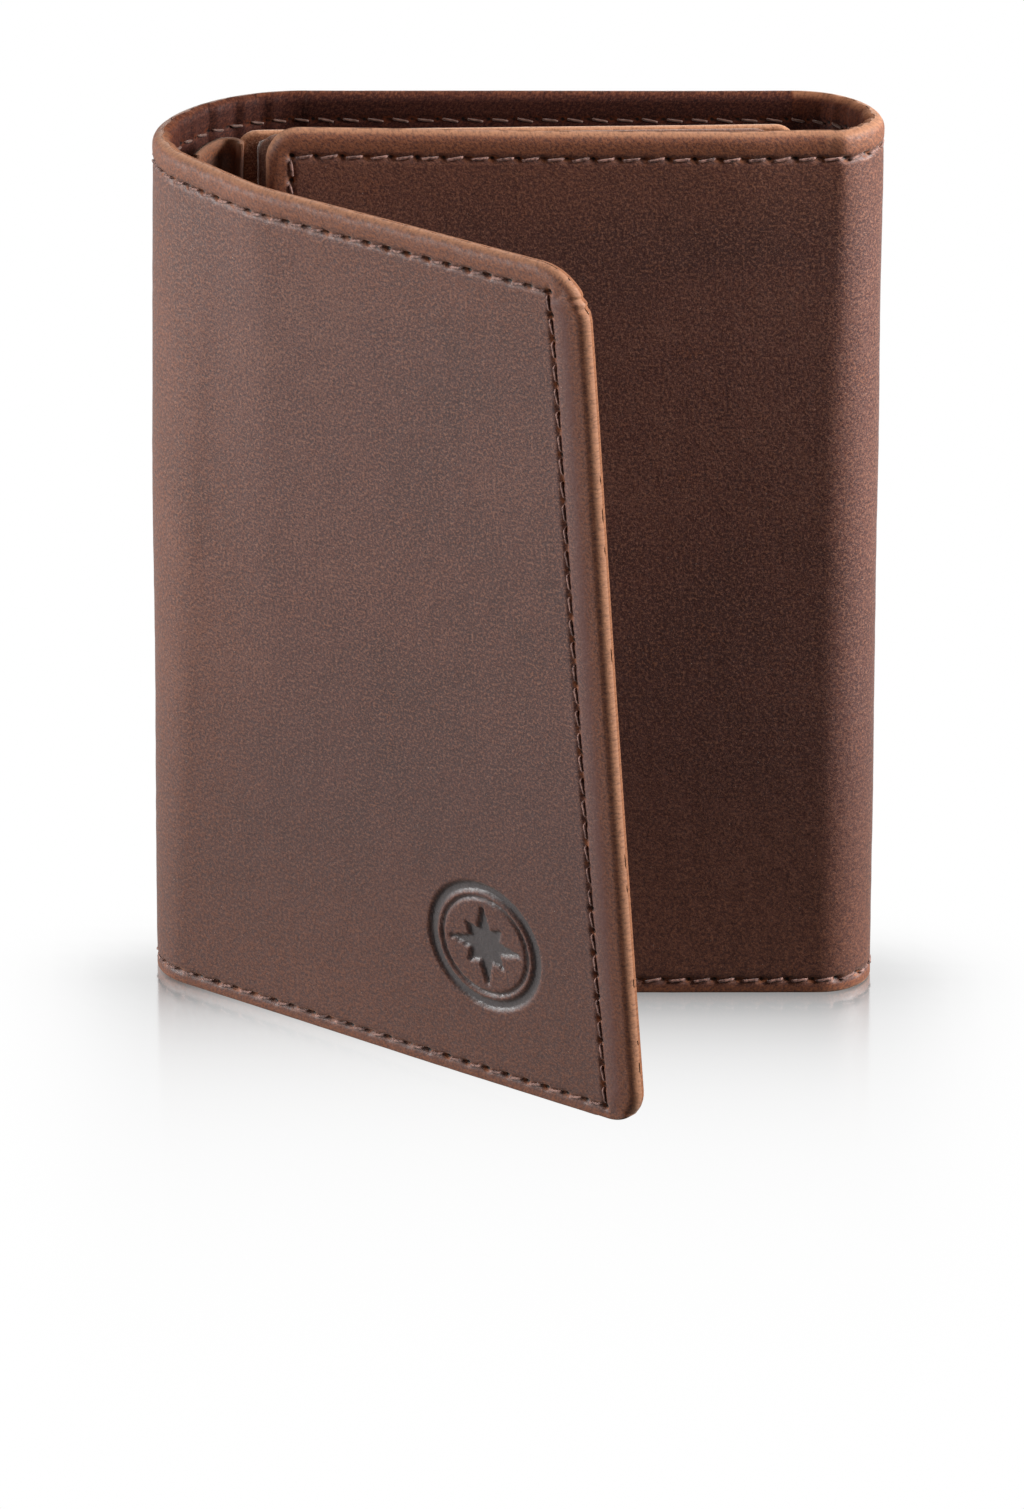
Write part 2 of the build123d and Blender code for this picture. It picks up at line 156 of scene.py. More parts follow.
def settle(kind, value, x, y, z):
    # outward move of the leather from its plain line
    move = np.zeros_like(x)
    high = np.clip(z / wallHeight, 0, 1)
    if kind in ("leftArc", "root", "flap"):
        ring = np.hypot(x + 38.0, (y + 28.0) * 0.62) / 11.0
        move -= softness["foldTuck"] * smooth(1 - ring) * high ** 2
    if kind == "right":
        along = smooth((13 - value) / 42)
        move -= softness["rightLean"] * along * high ** 6
        move -= 0.5 * softness["rightRound"] * smooth((value - 24) / 12) * high ** 8
    if kind == "frontArc":
        move -= 0.5 * softness["rightRound"] * smooth(1 - (value + 90) / 20) * high ** 8
        move -= softness["rightRound"] * np.sin(np.radians(np.clip(value + 90, 0, 90) * 2)) * 0.35 * high ** 8
    return move


def creases(kind, value, z):
    # creases on the inner side of the folds, strongest at the rim
    value = np.asarray(value, float)
    if kind == "leftArc":
        bell = np.sin(np.radians(np.clip((value - 90) / 116 * 180, 0, 180)))
        lines = np.sin(value * 0.42 + 0.8 * np.sin(value * 0.11)) + 0.5 * np.sin(value * 0.9 + z * 0.05)
    elif kind in ("rightArc", "frontArc"):
        bell = np.sin(np.radians(np.clip((90 - value), 0, 180)))
        lines = np.sin(value * 0.3 + 1.0) + 0.5 * np.sin(value * 0.71 + z * 0.04)
    else:
        return 0.0 * z
    return softness["creaseDepth"] * bell * lines


def spread(marks, step, fine=()):
    # evenly spaced stations through the marks, closer together where fine asks
    marks = sorted(marks)
    out = [marks[0]]
    for a, b in zip(marks[:-1], marks[1:]):
        middle = (a + b) / 2
        size = step
        for low, high, small in fine:
            if low <= middle <= high:
                size = min(size, small)
        n = max(int(math.ceil((b - a) / size - 1e-6)), 1)
        out += [a + (b - a) * (i + 1) / n for i in range(n)]
    return np.array(out)


roundSteps = (0.0, 0.02, 0.08, 0.18, 0.32, 0.5, 0.72, 1.0)      # shares of a rounded edge's radius


def edgeMarks(at, radius, sign):
    return [at + sign * radius * s for s in roundSteps]


def roundEdge(distance, radius):
    # share of full half thickness at a distance in from a rounded edge
    d = np.clip(distance / radius, 0, 1)
    return np.sqrt(np.clip(1 - (1 - d) ** 2, 0, 1))


# Seams: sizes of the stitches, their holes and the groove they lie in.
seam = {
    "pitch": 2.9, "threadRadius": 0.17, "proud": 0.02, "slant": 0.17,
    "topDepth": 3.1, "bottomDepth": 1.7, "sideDepth": 4.7, "rightSideDepth": 3.0,
    "holeRadius": 0.42, "holeDepth": 0.55, "grooveWidth": 0.36, "grooveDepth": 0.2,
    "innerGroove": 0.12, "innerDrop": 0.15, "innerThin": 0.9, "innerSunk": -0.03,
    "puff": 0.09,                       # the turned edge swells beside its seam
    "panelRadius": 0.2, "panelProud": 0.08,
    "gapShare": 0.14,                   # of the pitch, left bare at each end of a stitch
}
topSeam = wallHeight - seam["topDepth"]
bottomSeam = seam["bottomDepth"]
sideSeam = shell["flapEdge"] - seam["sideDepth"]
rightSide = shell["rightEdge"] + seam["rightSideDepth"]

# Stations along the strip, from the left flap's free edge round to the right flap's.
def nearEnd(values):
    # a station close inside each end, so that neighbouring pieces meet without a shading line
    values = list(values)
    first = values[0] + (values[1] - values[0]) * 0.03
    last = values[-1] + (values[-2] - values[-1]) * 0.03
    return [values[0], first] + values[1:-1] + [last, values[-1]]


flapMarks = [shell["flapCrease"], 14.5, 34.5, sideSeam - 1, sideSeam + 1,
             shell["flapEdge"] - shell["topCorner"]]
flapMarks += edgeMarks(shell["flapEdge"], shell["edgeRound"], -1)
flapStations = spread(flapMarks, 0.65, [(14.5, 34.5, 0.26), (sideSeam - 1, sideSeam + 1, 0.2),
                                        (shell["flapEdge"] - 7, shell["flapEdge"], 0.3)])[::-1]
rightMarks = [shell["rightFront"][0], rightSide + 1, rightSide - 1, shell["rightEdge"] + shell["rightCorner"]]
rightMarks += edgeMarks(shell["rightEdge"], shell["edgeRound"], 1)
rightStations = spread(rightMarks, 0.62, [(rightSide - 1, rightSide + 1, 0.25),
                                          (shell["rightEdge"], rightSide, 0.35)])[::-1]
stripRuns = [
    ("flap", "flap", flapStations, "left_flap"),
    ("rootA", "root", nearEnd(np.linspace(1, 0.5, 14)), "left_root"),
    ("rootB", "root", nearEnd(np.linspace(0.5, 0, 14)), "left_root"),
    ("spineA", "leftArc", nearEnd(np.linspace(shell["rootAngle"], shell["spineAngle"], 24)), "left_spine"),
    ("spineB", "leftArc", nearEnd(np.linspace(shell["spineAngle"], shell["backAngle"], 24)), "left_spine"),
    ("arcB", "leftArc", np.linspace(shell["backAngle"], 90, 28), "back"),
    ("backA", "back", nearEnd(np.linspace(0, 0.45, 52)), "back"),
    ("backB", "back", nearEnd(np.linspace(0.45, 1, 62)), "back"),
    ("arcC", "rightArc", np.linspace(90, 45, 18), "back"),
    ("spineC", "rightArc", nearEnd(np.linspace(45, 0, 18)), "right_spine"),
    ("spineD", "frontArc", nearEnd(np.linspace(0, -45, 14)), "right_spine"),
    ("arcD", "frontArc", np.linspace(-45, -90, 14), "right_flap"),
    ("right", "right", rightStations, "right_flap"),
]
strip, runRange = [], {}
for runName, kind, values, body in stripRuns:
    start = len(strip)
    joined = [(kind, float(v), body) for v in values]
    strip += joined if not strip else joined[1:]
    runRange[runName] = (max(start - 1, 0), len(strip))
heights = spread(
    [0.0] + [0.35 * s for s in roundSteps] + [bottomSeam - 0.7, bottomSeam + 0.7, 4.5, 8.0, 28.5,
     wallHeight - shell["hemWidth"] - 0.5, wallHeight - shell["hemWidth"], topSeam - 0.8, topSeam + 0.8]
    + edgeMarks(wallHeight, shell["edgeRound"], -1), 0.8,
    [(bottomSeam - 0.7, bottomSeam + 0.7, 0.2), (8.0, 28.5, 0.26), (topSeam - 0.8, topSeam + 0.8, 0.2),
     (wallHeight - 6.5, wallHeight - 6.0, 0.17), (wallHeight - 6, wallHeight, 0.35)])


def lengthsAt(z):
    xy = np.array([[c[0] for c in shellAt(k, v, np.array([z]))[:2]] for k, v, body in strip])
    return np.concatenate([[0], np.cumsum(np.hypot(*np.diff(xy, axis=0).T))])


lengthTop, lengthBottom = lengthsAt(topSeam), lengthsAt(bottomSeam)
seamFrom = shell["flapEdge"] - sideSeam
topTo = lengthTop[-1] - seam["rightSideDepth"]
bottomTo = lengthBottom[-1] - seam["rightSideDepth"]


def evenPitch(length):
    return length / round(length / seam["pitch"])


topPitch, bottomPitch = evenPitch(topTo - seamFrom), evenPitch(bottomTo - seamFrom)
sidePitch = evenPitch(topSeam - bottomSeam)


def rowPits(along, across, start, stop, pitch):
    nearest = (along - start + pitch / 2) % pitch - pitch / 2
    inside = (along > start - 0.8) & (along < stop + 0.8)
    r = (nearest / seam["holeRadius"]) ** 2 + (across / (seam["holeRadius"] * 0.8)) ** 2
    return np.exp(-r) * inside


def groove(across):
    return np.exp(-(across / seam["grooveWidth"]) ** 2)


# The pressed mark: a plain ring round an eight-pointed compass star.
mark = {"centre": (24.5, 18.2), "ring": 7.6, "ringWidth": 1.2, "inner": 6.2, "star": 5.5, "waist": 2.3,
        "depth": 0.4, "edge": 0.25}


def markPress(s, z):
    dx, dz = s - mark["centre"][0], z - mark["centre"][1]
    r = np.hypot(dx, dz)
    a = np.arctan2(dz, dx)
    soft = mark["edge"]
    ring = smooth((mark["ringWidth"] / 2 - np.abs(r - mark["ring"])) / soft + 0.5)
    thin = smooth((0.2 - np.abs(r - mark["inner"])) / soft + 0.5)
    eighth = a / (math.pi / 4)
    local = np.abs(eighth - np.round(eighth)) * math.pi / 4      # 0 on a point of the star
    longOnes = np.round(eighth) % 2 == 0
    tip = np.where(longOnes, mark["star"], mark["star"] * 0.66)
    waist, half = mark["waist"], math.pi / 8
    rim = tip * waist * math.sin(half) / (
        waist * np.sin(np.maximum(half - local, 0)) + tip * np.sin(local) + 1e-9)
    star = smooth((rim - r) / soft + 0.5)
    return np.clip(ring + thin + star, 0, 1)


def roundedCorner(a, b, radius):
    # moves points of a square corner onto a rounded one; a and b are distances in from the two edges
    inA, inB = np.clip(radius - a, 0, None), np.clip(radius - b, 0, None)
    size = np.hypot(inA, inB)
    k = np.where((inA > 0) & (inB > 0), np.maximum(inA, inB) / np.where(size > 0, size, 1), 1)
    return np.where(inA > 0, radius - inA * k, a), np.where(inB > 0, radius - inB * k, b)


def turnCorners(kind, v, z):
    # rounds the free corners of the two flaps and says how far each point is in from the side edge
    side = np.full_like(z, 99.0)
    if kind not in ("flap", "right"):
        return v, z, side
    sign = 1 if kind == "right" else -1
    edge = shell["rightEdge"] if kind == "right" else shell["flapEdge"]
    topR = shell["rightCorner"] if kind == "right" else shell["topCorner"]
    lowR = shell["rightCorner"] if kind == "right" else shell["bottomCorner"]
    side = sign * (v - edge)
    sideT, topT = roundedCorner(side, wallHeight - z, topR)
    sideB, lowB = roundedCorner(side, z, lowR)
    upper = z > wallHeight / 2
    return edge + sign * np.where(upper, sideT, sideB), np.where(upper, wallHeight - topT, lowB), side


wearAndShade = {
    "rimWidth": 0.62, "band": 0.34, "foot": 0.55, "footBand": 0.22,
    # the low shares along the back are painted shade on its dim rim
    "leftArc": 0.15, "back": 0.12, "rightArc": 1.5, "frontArc": 1.6,       # share of the flaps' wear
}


def rimWearAndShade(kind, value):
    # how much of the worn tan each part keeps: most on the flaps and the right fold, least along the back;
    # the little along the back and the back of the left fold is painted shade on the dim back rim
    if kind == "leftArc":
        return wearAndShade[kind] + (1 - wearAndShade[kind]) * float(smooth((value - 145) / 50))
    return wearAndShade.get(kind, 1.0)


# Two little pleats where the turned edge goes round the flap's top corner: height, depth, width
pleats = [(104.5, 0.34, 0.32), (103.5, 0.3, 0.3)]

# The whole strip of shell leather is worked out once and then cut at its creases.
count, rows = len(strip), len(heights)
stripFront, stripBack, skin, skinInside, outward = (np.zeros((count, rows, 3)) for part in range(5))
stripFinish, stripPlace, stripInside = (np.zeros((count, rows) + size) for size in ((4,), (2,), ()))
for i, (kind, value, body) in enumerate(strip):
    v, z, side = turnCorners(kind, np.full(rows, value), heights.copy())
    top, low = wallHeight - heights, heights
    if kind == "flap":
        rimShare = smooth(1.3 - side / 1.6)
        for pleatHeight, pleatDepth, pleatWidth in pleats:
            v = v - rimShare * pleatDepth * np.exp(-((z - pleatHeight) / pleatWidth) ** 2)
    x, y, nx, ny = shellAt(kind, v, z)
    lift = settle(kind, v, x, y, z) + softness["waviness"] * wave(x, y, z, 26.0)
    turned = np.minimum(side, top)                      # distance in from a turned edge
    full = roundEdge(turned, shell["edgeRound"])
    raw = 0.35 + 0.65 * roundEdge(low, 0.35)
    ramp = smooth((shell["hemWidth"] + 0.35 - turned) / 0.35)
    backFull = halfThick + (shell["hemDepth"] - halfThick) * ramp
    middle = -(shell["hemDepth"] - halfThick) / 2 * ramp
    outer = middle + (halfThick - middle) * full * raw
    inner = middle - (backFull + middle) * full * raw
    acrossTop, acrossLow = z - topSeam, z - bottomSeam
    pits = np.maximum(rowPits(lengthTop[i], acrossTop, seamFrom, topTo, topPitch),
                      rowPits(lengthBottom[i], acrossLow, seamFrom, bottomTo, bottomPitch))
    clear = side > (shell["flapEdge"] - sideSeam if kind == "flap" else seam["rightSideDepth"]) - 0.3
    line = np.maximum(groove(acrossTop), groove(acrossLow)) * clear
    burnish, press = np.zeros(rows), np.zeros(rows)
    if kind in ("flap", "right"):
        across = v - (sideSeam if kind == "flap" else rightSide)
        inRow = (z > bottomSeam - 0.3) & (z < topSeam + 0.3)
        pits = np.maximum(pits, rowPits(z, across, bottomSeam, topSeam, sidePitch))
        line = np.maximum(line, groove(across) * inRow)
    if kind == "flap":
        burnish = np.exp(-((side - 2.7) / 0.9) ** 2) * smooth(low / 3) * smooth(top / 4)
        outer += 0.3 * np.exp(-((side - 2.9) / 1.5) ** 2) * smooth(low / 3) * smooth(top / 4)
        press = markPress(v, z)
        outer -= mark["depth"] * press
    puff = seam["puff"] * smooth(1 - np.abs(turned - seam["topDepth"] / 2) / 1.8)
    skin[i] = np.stack([x + nx * (halfThick + lift), y + ny * (halfThick + lift), z], -1)
    skinInside[i] = np.stack([x - nx * (backFull - lift), y - ny * (backFull - lift), z], -1)
    outward[i] = np.stack([nx, ny, 0 * z], -1)
    outer += puff * full - seam["grooveDepth"] * line - seam["holeDepth"] * pits + 0.03 * wave(x, y, z, 2.2)
    inner += creases(kind, value, z) * smooth((z - 40) / 60)
    inner += seam["innerGroove"] * groove(acrossTop) * clear
    for out, depth in ((stripFront, outer), (stripBack, inner)):
        out[i] = np.stack([x + nx * (depth + lift), y + ny * (depth + lift), z], -1)
    wear = np.exp(-(turned / wearAndShade["rimWidth"]) ** 2)
    band = smooth((seam["topDepth"] - 0.2 - np.minimum(turned, side + 2)) / 0.9)
    wear = np.maximum(wear, wearAndShade["band"] * band)
    wear = np.maximum(wear, wearAndShade["foot"] * np.exp(-(low / 0.5) ** 2))
    wear = np.maximum(wear, wearAndShade["footBand"] * smooth((1.5 - low) / 0.8))
    # less worn tan along the back: painted shade on the dim back rim
    wear = wear * rimWearAndShade(kind, value)
    stripFinish[i] = np.stack([wear, burnish, press, pits], -1)
    # how far in on the turned-in side; this darkens that side, partly its own untreated tone and partly
    # painted shade
    stripInside[i] = smooth((turned + 0.7) / 1.5)
    if i:
        step = np.hypot(*(skin[i, :, :2] - skin[i - 1, :, :2]).T)
        stripPlace[i, :, 0] = stripPlace[i - 1, :, 0] + step
    stripPlace[i, :, 1] = z
print("stage: strip of", count, "by", rows, "stations")


# Meshes carry where each point lies on the leather, how worn it is, and which side it is on.
def makeObject(name, points, faces, body=None, place=None, finish=None, cutColumns=None,
               inside=None):
    mesh = bpy.data.meshes.new(name)
    points = np.asarray(points, float) * mm
    faces = np.asarray(faces, np.int32)
    corner = points[faces]
    volume = np.einsum("ij,ij->", corner[:, 0], np.cross(corner[:, 1], corner[:, 2]))
    volume += np.einsum("ij,ij->", corner[:, 0], np.cross(corner[:, 2], corner[:, 3]))
    if volume < 0:
        faces = faces[:, ::-1]
    mesh.vertices.add(len(points))
    mesh.vertices.foreach_set("co", points.ravel())
    mesh.loops.add(faces.size)
    mesh.loops.foreach_set("vertex_index", np.ascontiguousarray(faces).ravel())
    mesh.polygons.add(len(faces))
    mesh.polygons.foreach_set("loop_start", np.arange(0, faces.size, 4, dtype=np.int32))
    mesh.update(calc_edges=True)
    mesh.polygons.foreach_set("use_smooth", np.ones(len(faces), bool))
    if cutColumns is not None:
        ends = np.zeros(len(points), bool)
        ends[cutColumns] = True
        pairs = np.zeros(len(mesh.edges) * 2, np.int32)
        mesh.edges.foreach_get("vertices", pairs)
        pairs = pairs.reshape(-1, 2)
        sharp = mesh.attributes.new("sharp_edge", "BOOLEAN", "EDGE")
        sharp.data.foreach_set("value", ends[pairs[:, 0]] & ends[pairs[:, 1]])
    if place is not None:
        uv = mesh.uv_layers.new(name="place")
        uv.data.foreach_set("uv", np.asarray(place, np.float32)[np.ascontiguousarray(faces).ravel()].ravel())
    if finish is not None:
        layer = mesh.color_attributes.new("finish", "FLOAT_COLOR", "POINT")
        layer.data.foreach_set("color", np.clip(finish, 0, 1).astype(np.float32).ravel())
    if inside is not None:
        layer = mesh.attributes.new("inside", "FLOAT", "POINT")
        layer.data.foreach_set("value", np.asarray(inside, np.float32))
    piece = bpy.data.objects.new(name, mesh)
    bpy.context.collection.objects.link(piece)
    if body:
        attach(piece, body)
    return piece


def gridFaces(across, rows, offset=0):
    i = np.arange(across - 1)[:, None] * rows + np.arange(rows - 1)[None, :] + offset
    return np.stack([i, i + 1, i + rows + 1, i + rows], -1).reshape(-1, 4)


def slabMesh(front, back):
    # front and back are grids of points with the same shape; their borders are joined all round
    across, rows = front.shape[:2]
    total = across * rows
    ring = np.concatenate([
        np.arange(rows),
        np.arange(1, across) * rows + rows - 1,
        (across - 1) * rows + np.arange(rows - 2, -1, -1),
        np.arange(across - 2, 0, -1) * rows])
    after = np.roll(ring, -1)
    wall = np.stack([ring, ring + total, after + total, after], -1)
    faces = np.concatenate([gridFaces(across, rows), gridFaces(across, rows, total)[:, ::-1], wall])
    return np.concatenate([front.reshape(-1, 3), back.reshape(-1, 3)]), faces


def bothSides(front, back):
    return np.concatenate([front.reshape(-1, front.shape[-1]), back.reshape(-1, back.shape[-1])])


def cutEnds(across, rows, startCut, endCut):
    picked = []
    for at, wanted in ((0, startCut), (across - 1, endCut)):
        if wanted:
            picked += ([at * rows + j for j in range(rows)]
                       + [across * rows + at * rows + j for j in range(rows)])
    return picked


def shellPiece(name, firstRun, lastRun):
    a, b = runRange[firstRun][0], runRange[lastRun][1]
    front, back = stripFront[a:b], stripBack[a:b]
    points, faces = slabMesh(front, back)
    innerFinish = stripFinish[a:b].copy()
    innerFinish[..., 1:3] = 0
    shade = np.concatenate([0 * stripInside[a:b].ravel(), stripInside[a:b].ravel()])
    innerPlace = stripPlace[a:b] + np.array([0.0, 400.0])       # the turned-in side carries its own grain
    cuts = cutEnds(b - a, rows, a > 0, b < count)
    piece = makeObject(name, points, faces, None, bothSides(stripPlace[a:b], innerPlace),
                       bothSides(stripFinish[a:b], innerFinish), cuts, shade)
    quads = (b - a - 1) * (rows - 1)
    sides = np.zeros(len(piece.data.polygons), np.int32)
    sides[quads:2 * quads] = 1                                  # the inner side takes the second material
    piece.data.polygons.foreach_set("material_index", sides)
    return piece


# Bends: each length of leather turns across one crease; bend() only bakes each piece's placement into its
# mesh and does not bend it.
def ruling(angle):
    low = onArc(*shell["bottomCentre"], shell["bottomRadius"], angle)[:2]
    high = onArc(*shell["topCentre"], shell["topRadius"], angle)[:2]
    return Vector((low[0], low[1], 0)), Vector((high[0], high[1], wallHeight))


def bend(piece, first, second, low, high, heading, half):
    axis = (high - low).normalized()
    along = Vector(heading)
    along = (along - axis * along.dot(axis)).normalized()
    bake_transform(piece)


def flapPoint(s, z, depth=0.0):
    level = float(flapLevel(z)) - depth
    return Vector((flapAlong[0] * s + flapOut[0] * level, flapAlong[1] * s + flapOut[1] * level, z))


# Half the length of leather that turns at each crease, and the two upright creases' places
bends = {
    "flap": 3.5, "root": 3.8, "leftBack": 4.4, "rightBack": 6.8, "rightFlap": 4.1,
    "rightBackAt": (39.1, -2.9), "rightFlapAt": (40.27, -14.07), "diagonal": 0.707,
}


def bendAtFlap(piece):
    low, high = flapPoint(shell["flapCrease"], 0), flapPoint(shell["flapCrease"], wallHeight)
    bend(piece, "left_root", "left_flap", low, high, (flapAlong[0], flapAlong[1], 0), bends["flap"])


def bendAtRoot(piece):
    turn = math.radians(shell["rootAngle"] + 90)
    heading = (math.cos(turn), math.sin(turn), 0)
    bend(piece, "left_spine", "left_root", *ruling(shell["rootAngle"]), heading, bends["root"])


def bendAtLeftBack(piece):
    turn = math.radians(shell["backAngle"] + 90)
    heading = (math.cos(turn), math.sin(turn), 0)
    bend(piece, "back", "left_spine", *ruling(shell["backAngle"]), heading, bends["leftBack"])


def bendUpright(piece, first, second, at, across, half):
    low, high = Vector((*at, 0)), Vector((*at, wallHeight))
    bend(piece, first, second, low, high, (across * bends["diagonal"], -bends["diagonal"], 0), half)


def bendAtRightBack(piece):
    bendUpright(piece, "back", "right_spine", bends["rightBackAt"], 1, bends["rightBack"])


def bendAtRightFlap(piece):
    bendUpright(piece, "right_spine", "right_flap", bends["rightFlapAt"], -1, bends["rightFlap"])


leatherPieces = {
    "left_flap_leather": ("flap", "rootA", bendAtFlap, ["left_flap_shell"]),
    "left_root_leather": ("rootB", "spineA", bendAtRoot, ["left_root_shell"]),
    "left_spine_leather": ("spineB", "backA", bendAtLeftBack, ["left_spine_shell"]),
    "back_leather": ("backB", "spineC", bendAtRightBack, ["back_shell", "right_spine_shell"]),
    "right_flap_leather": ("spineD", "right", bendAtRightFlap, ["right_flap_shell"]),
}
outerLeather = []
for name, (firstRun, lastRun, bender, hidden) in leatherPieces.items():
    piece = shellPiece(name, firstRun, lastRun)
    bender(piece)
    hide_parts(*hidden)
    outerLeather.append(piece)
print("stage: shell leather", len(outerLeather), "pieces")


# Layers that follow the shell: the lining and the note compartment's wall.
layers = {
    "liningFrom": 0.65, "liningTo": 1.08, "liningLow": 1.2, "liningHigh": 101.6,
    "wallDepth": 2.1, "wallThick": 0.8, "wallLow": 1.0, "wallHigh": 103.0,
    "wallInsetLow": 3.3, "wallInsetHigh": 4.2,
    "curlStations": 46, "curlHigh": 105.0, "curlFrom": shell["spineAngle"], "curlTo": 143, "curlShare": 0.62,
    "curlRadius": 1.5, "curlTurn": 165,
}


def layerPiece(name, run, depths, low, high, bender, hidden, edge=0.3, body=None, extra=()):
    # run is a list of (kind, value); depths gives the layer's outer and inner depth there
    zs = spread([low] + edgeMarks(low, edge, 1) + edgeMarks(high, edge, -1), 2.4)
    front, back = [], []
    for kind, value in run:
        v, z, side = turnCorners(kind, np.full(len(zs), value), zs.copy())
        x, y, nx, ny = shellAt(kind, v, zs)
        lift = settle(kind, v, x, y, zs) + softness["waviness"] * wave(x, y, zs, 26.0)
        outerDepth, innerDepth = depths(kind, value, zs)
        middle = (outerDepth + innerDepth) / 2
        half = (innerDepth - outerDepth) / 2 * roundEdge(np.minimum(zs - low, high - zs), edge)
        front.append(np.stack([x + nx * (lift - middle + half), y + ny * (lift - middle + half), zs], -1))
        back.append(np.stack([x + nx * (lift - middle - half), y + ny * (lift - middle - half), zs], -1))
    for point in extra:         # the layer's own curl past the end of the run
        front.append(np.stack([zs * 0 + point[0], zs * 0 + point[1], zs], -1))
        back.append(np.stack([zs * 0 + point[2], zs * 0 + point[3], zs], -1))
    front, back = np.array(front), np.array(back)
    gap = np.hypot(*np.moveaxis(np.diff(front[..., :2], axis=0), -1, 0))
    u = np.concatenate([np.zeros((1, len(zs))), np.cumsum(gap, axis=0)])
    place = np.stack([u, np.broadcast_to(zs, u.shape)], -1)
    points, faces = slabMesh(front, back)
    finish = np.zeros((len(points), 4))
    finish[:, 0] = np.tile(np.exp(-((high - zs) / 0.8) ** 2), 2 * len(front))
    piece = makeObject(name, points, faces, body, bothSides(place, place + np.array([0.0, 300.0])), finish,
                       None)
    if bender:
        bender(piece)
    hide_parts(*hidden)
    return piece


def runOf(kind, first, last, n):
    return [(kind, float(v)) for v in np.linspace(first, last, n)]


def liningDepths(kind, value, z):
    return layers["liningFrom"] + 0 * z, layers["liningTo"] + 0 * z


def wallDepths(kind, value, z):
    share = 0.0
    if kind == "root":
        share = float(smooth(1 - value))
    if kind == "leftArc":
        share = 1.0
    inset = layers["wallInsetLow"] + (layers["wallInsetHigh"] - layers["wallInsetLow"]) * z / wallHeight
    depth = layers["wallDepth"] * (1 - share) + inset * share
    return depth, depth + layers["wallThick"]


liningRuns = {
    "left_flap_lining_cloth": (runOf("flap", 44.4, -8.6, 30) + runOf("root", 0.96, 0.5, 8),
                               bendAtFlap, ["left_flap_lining"]),
    "left_root_lining_cloth": (runOf("root", 0.5, 0, 8) + runOf("leftArc", 204, shell["spineAngle"], 10),
                               bendAtRoot, ["left_root_lining"]),
    "left_spine_lining_cloth": (runOf("leftArc", shell["spineAngle"], 90, 24) + runOf("back", 0.03, 0.45, 12),
                                bendAtLeftBack, ["left_spine_lining"]),
    "back_lining_cloth": (runOf("back", 0.45, 1, 16) + runOf("rightArc", 88, 0, 18),
                          bendAtRightBack, ["back_lining", "right_spine_lining"]),
    "right_flap_lining_cloth": (runOf("frontArc", 0, -90, 16) + runOf("right", 35, -27.7, 28),
                                bendAtRightFlap, ["right_flap_lining"]),
}
liningPieces = []
for name, (run, bender, hidden) in liningRuns.items():
    liningPieces.append(layerPiece(name, run, liningDepths, layers["liningLow"], layers["liningHigh"], bender,
                                   hidden))
print("stage: lining", len(liningPieces), "pieces")


def bendRight():
    def bender(piece):
        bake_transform(piece)
    return bender


rightTurn = {"centre": (27, -7.9), "reach": 7.5, "rise": 5.4, "half": 0.4, "stations": 41}


def rightTurnPoint(angle, offset):
    x = rightTurn["centre"][0] + (rightTurn["reach"] + offset) * math.cos(angle)
    return x, rightTurn["centre"][1] + (rightTurn["rise"] + offset) * math.sin(angle)


rightCurl = [rightTurnPoint(a, rightTurn["half"]) + rightTurnPoint(a, -rightTurn["half"])
             for a in np.radians(np.linspace(90, -90, rightTurn["stations"]))]
wallPieces = [
    layerPiece("left_flap_wall", runOf("flap", 43.0, -8.6, 30) + runOf("root", 0.96, 0.5, 8), wallDepths,
               layers["wallLow"], layers["wallHigh"], bendAtFlap, ["left_flap_divider"]),
    layerPiece("left_root_wall", runOf("root", 0.5, 0, 8) + runOf("leftArc", 204, shell["spineAngle"], 12),
               wallDepths, layers["wallLow"], layers["wallHigh"], bendAtRoot, ["left_root_divider"]),
]


# The note compartment's wall curls back on itself where the left fold lets it go.
def curledWall():
    high = layers["curlHigh"]
    zs = spread([1.0, 1.3, 102.9, 103.0] + [high - 0.4 * s for s in roundSteps], 2.4)
    front, back = [], []
    for share in np.linspace(0, 1, layers["curlStations"]):
        outer, inner = [], []
        for z in zs:
            cx, cy = foldCentre(z)
            inset = (layers["wallInsetLow"]
                     + (layers["wallInsetHigh"] - layers["wallInsetLow"]) * z / wallHeight)
            radius = float(foldRadius(z)) - inset - layers["wallThick"] / 2
            half = layers["wallThick"] / 2
            if share <= layers["curlShare"]:
                angle = (layers["curlFrom"]
                         + (layers["curlTo"] - layers["curlFrom"]) * share / layers["curlShare"])
                mx, my, nx, ny = onArc(float(cx), float(cy), radius, angle)
            else:
                ex, ey, dx, dy = onArc(float(cx), float(cy), radius, layers["curlTo"])
                small = layers["curlRadius"]
                past = (share - layers["curlShare"]) / (1 - layers["curlShare"])
                turn = layers["curlTo"] - layers["curlTurn"] * past
                mx, my, nx, ny = onArc(ex - dx * small, ey - dy * small, small, turn)
            outer.append((mx + nx * half, my + ny * half, z))
            inner.append((mx - nx * half, my - ny * half, z))
        front.append(outer)
        back.append(inner)
    front, back = np.array(front), np.array(back)
    gap = np.hypot(*np.moveaxis(np.diff(front[..., :2], axis=0), -1, 0))
    u = np.concatenate([np.zeros((1, len(zs))), np.cumsum(gap, axis=0)])
    place = np.stack([u, np.broadcast_to(zs, u.shape)], -1)
    points, faces = slabMesh(front, back)
    finish = np.zeros((len(points), 4))
    finish[:, 0] = np.tile(np.exp(-((high - zs) / 0.8) ** 2), 2 * len(front))
    place = bothSides(place, place + np.array([0.0, 300.0]))
    piece = makeObject("left_spine_wall", points, faces, "left_spine", place, finish, None)
    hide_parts("left_spine_divider")
    return piece


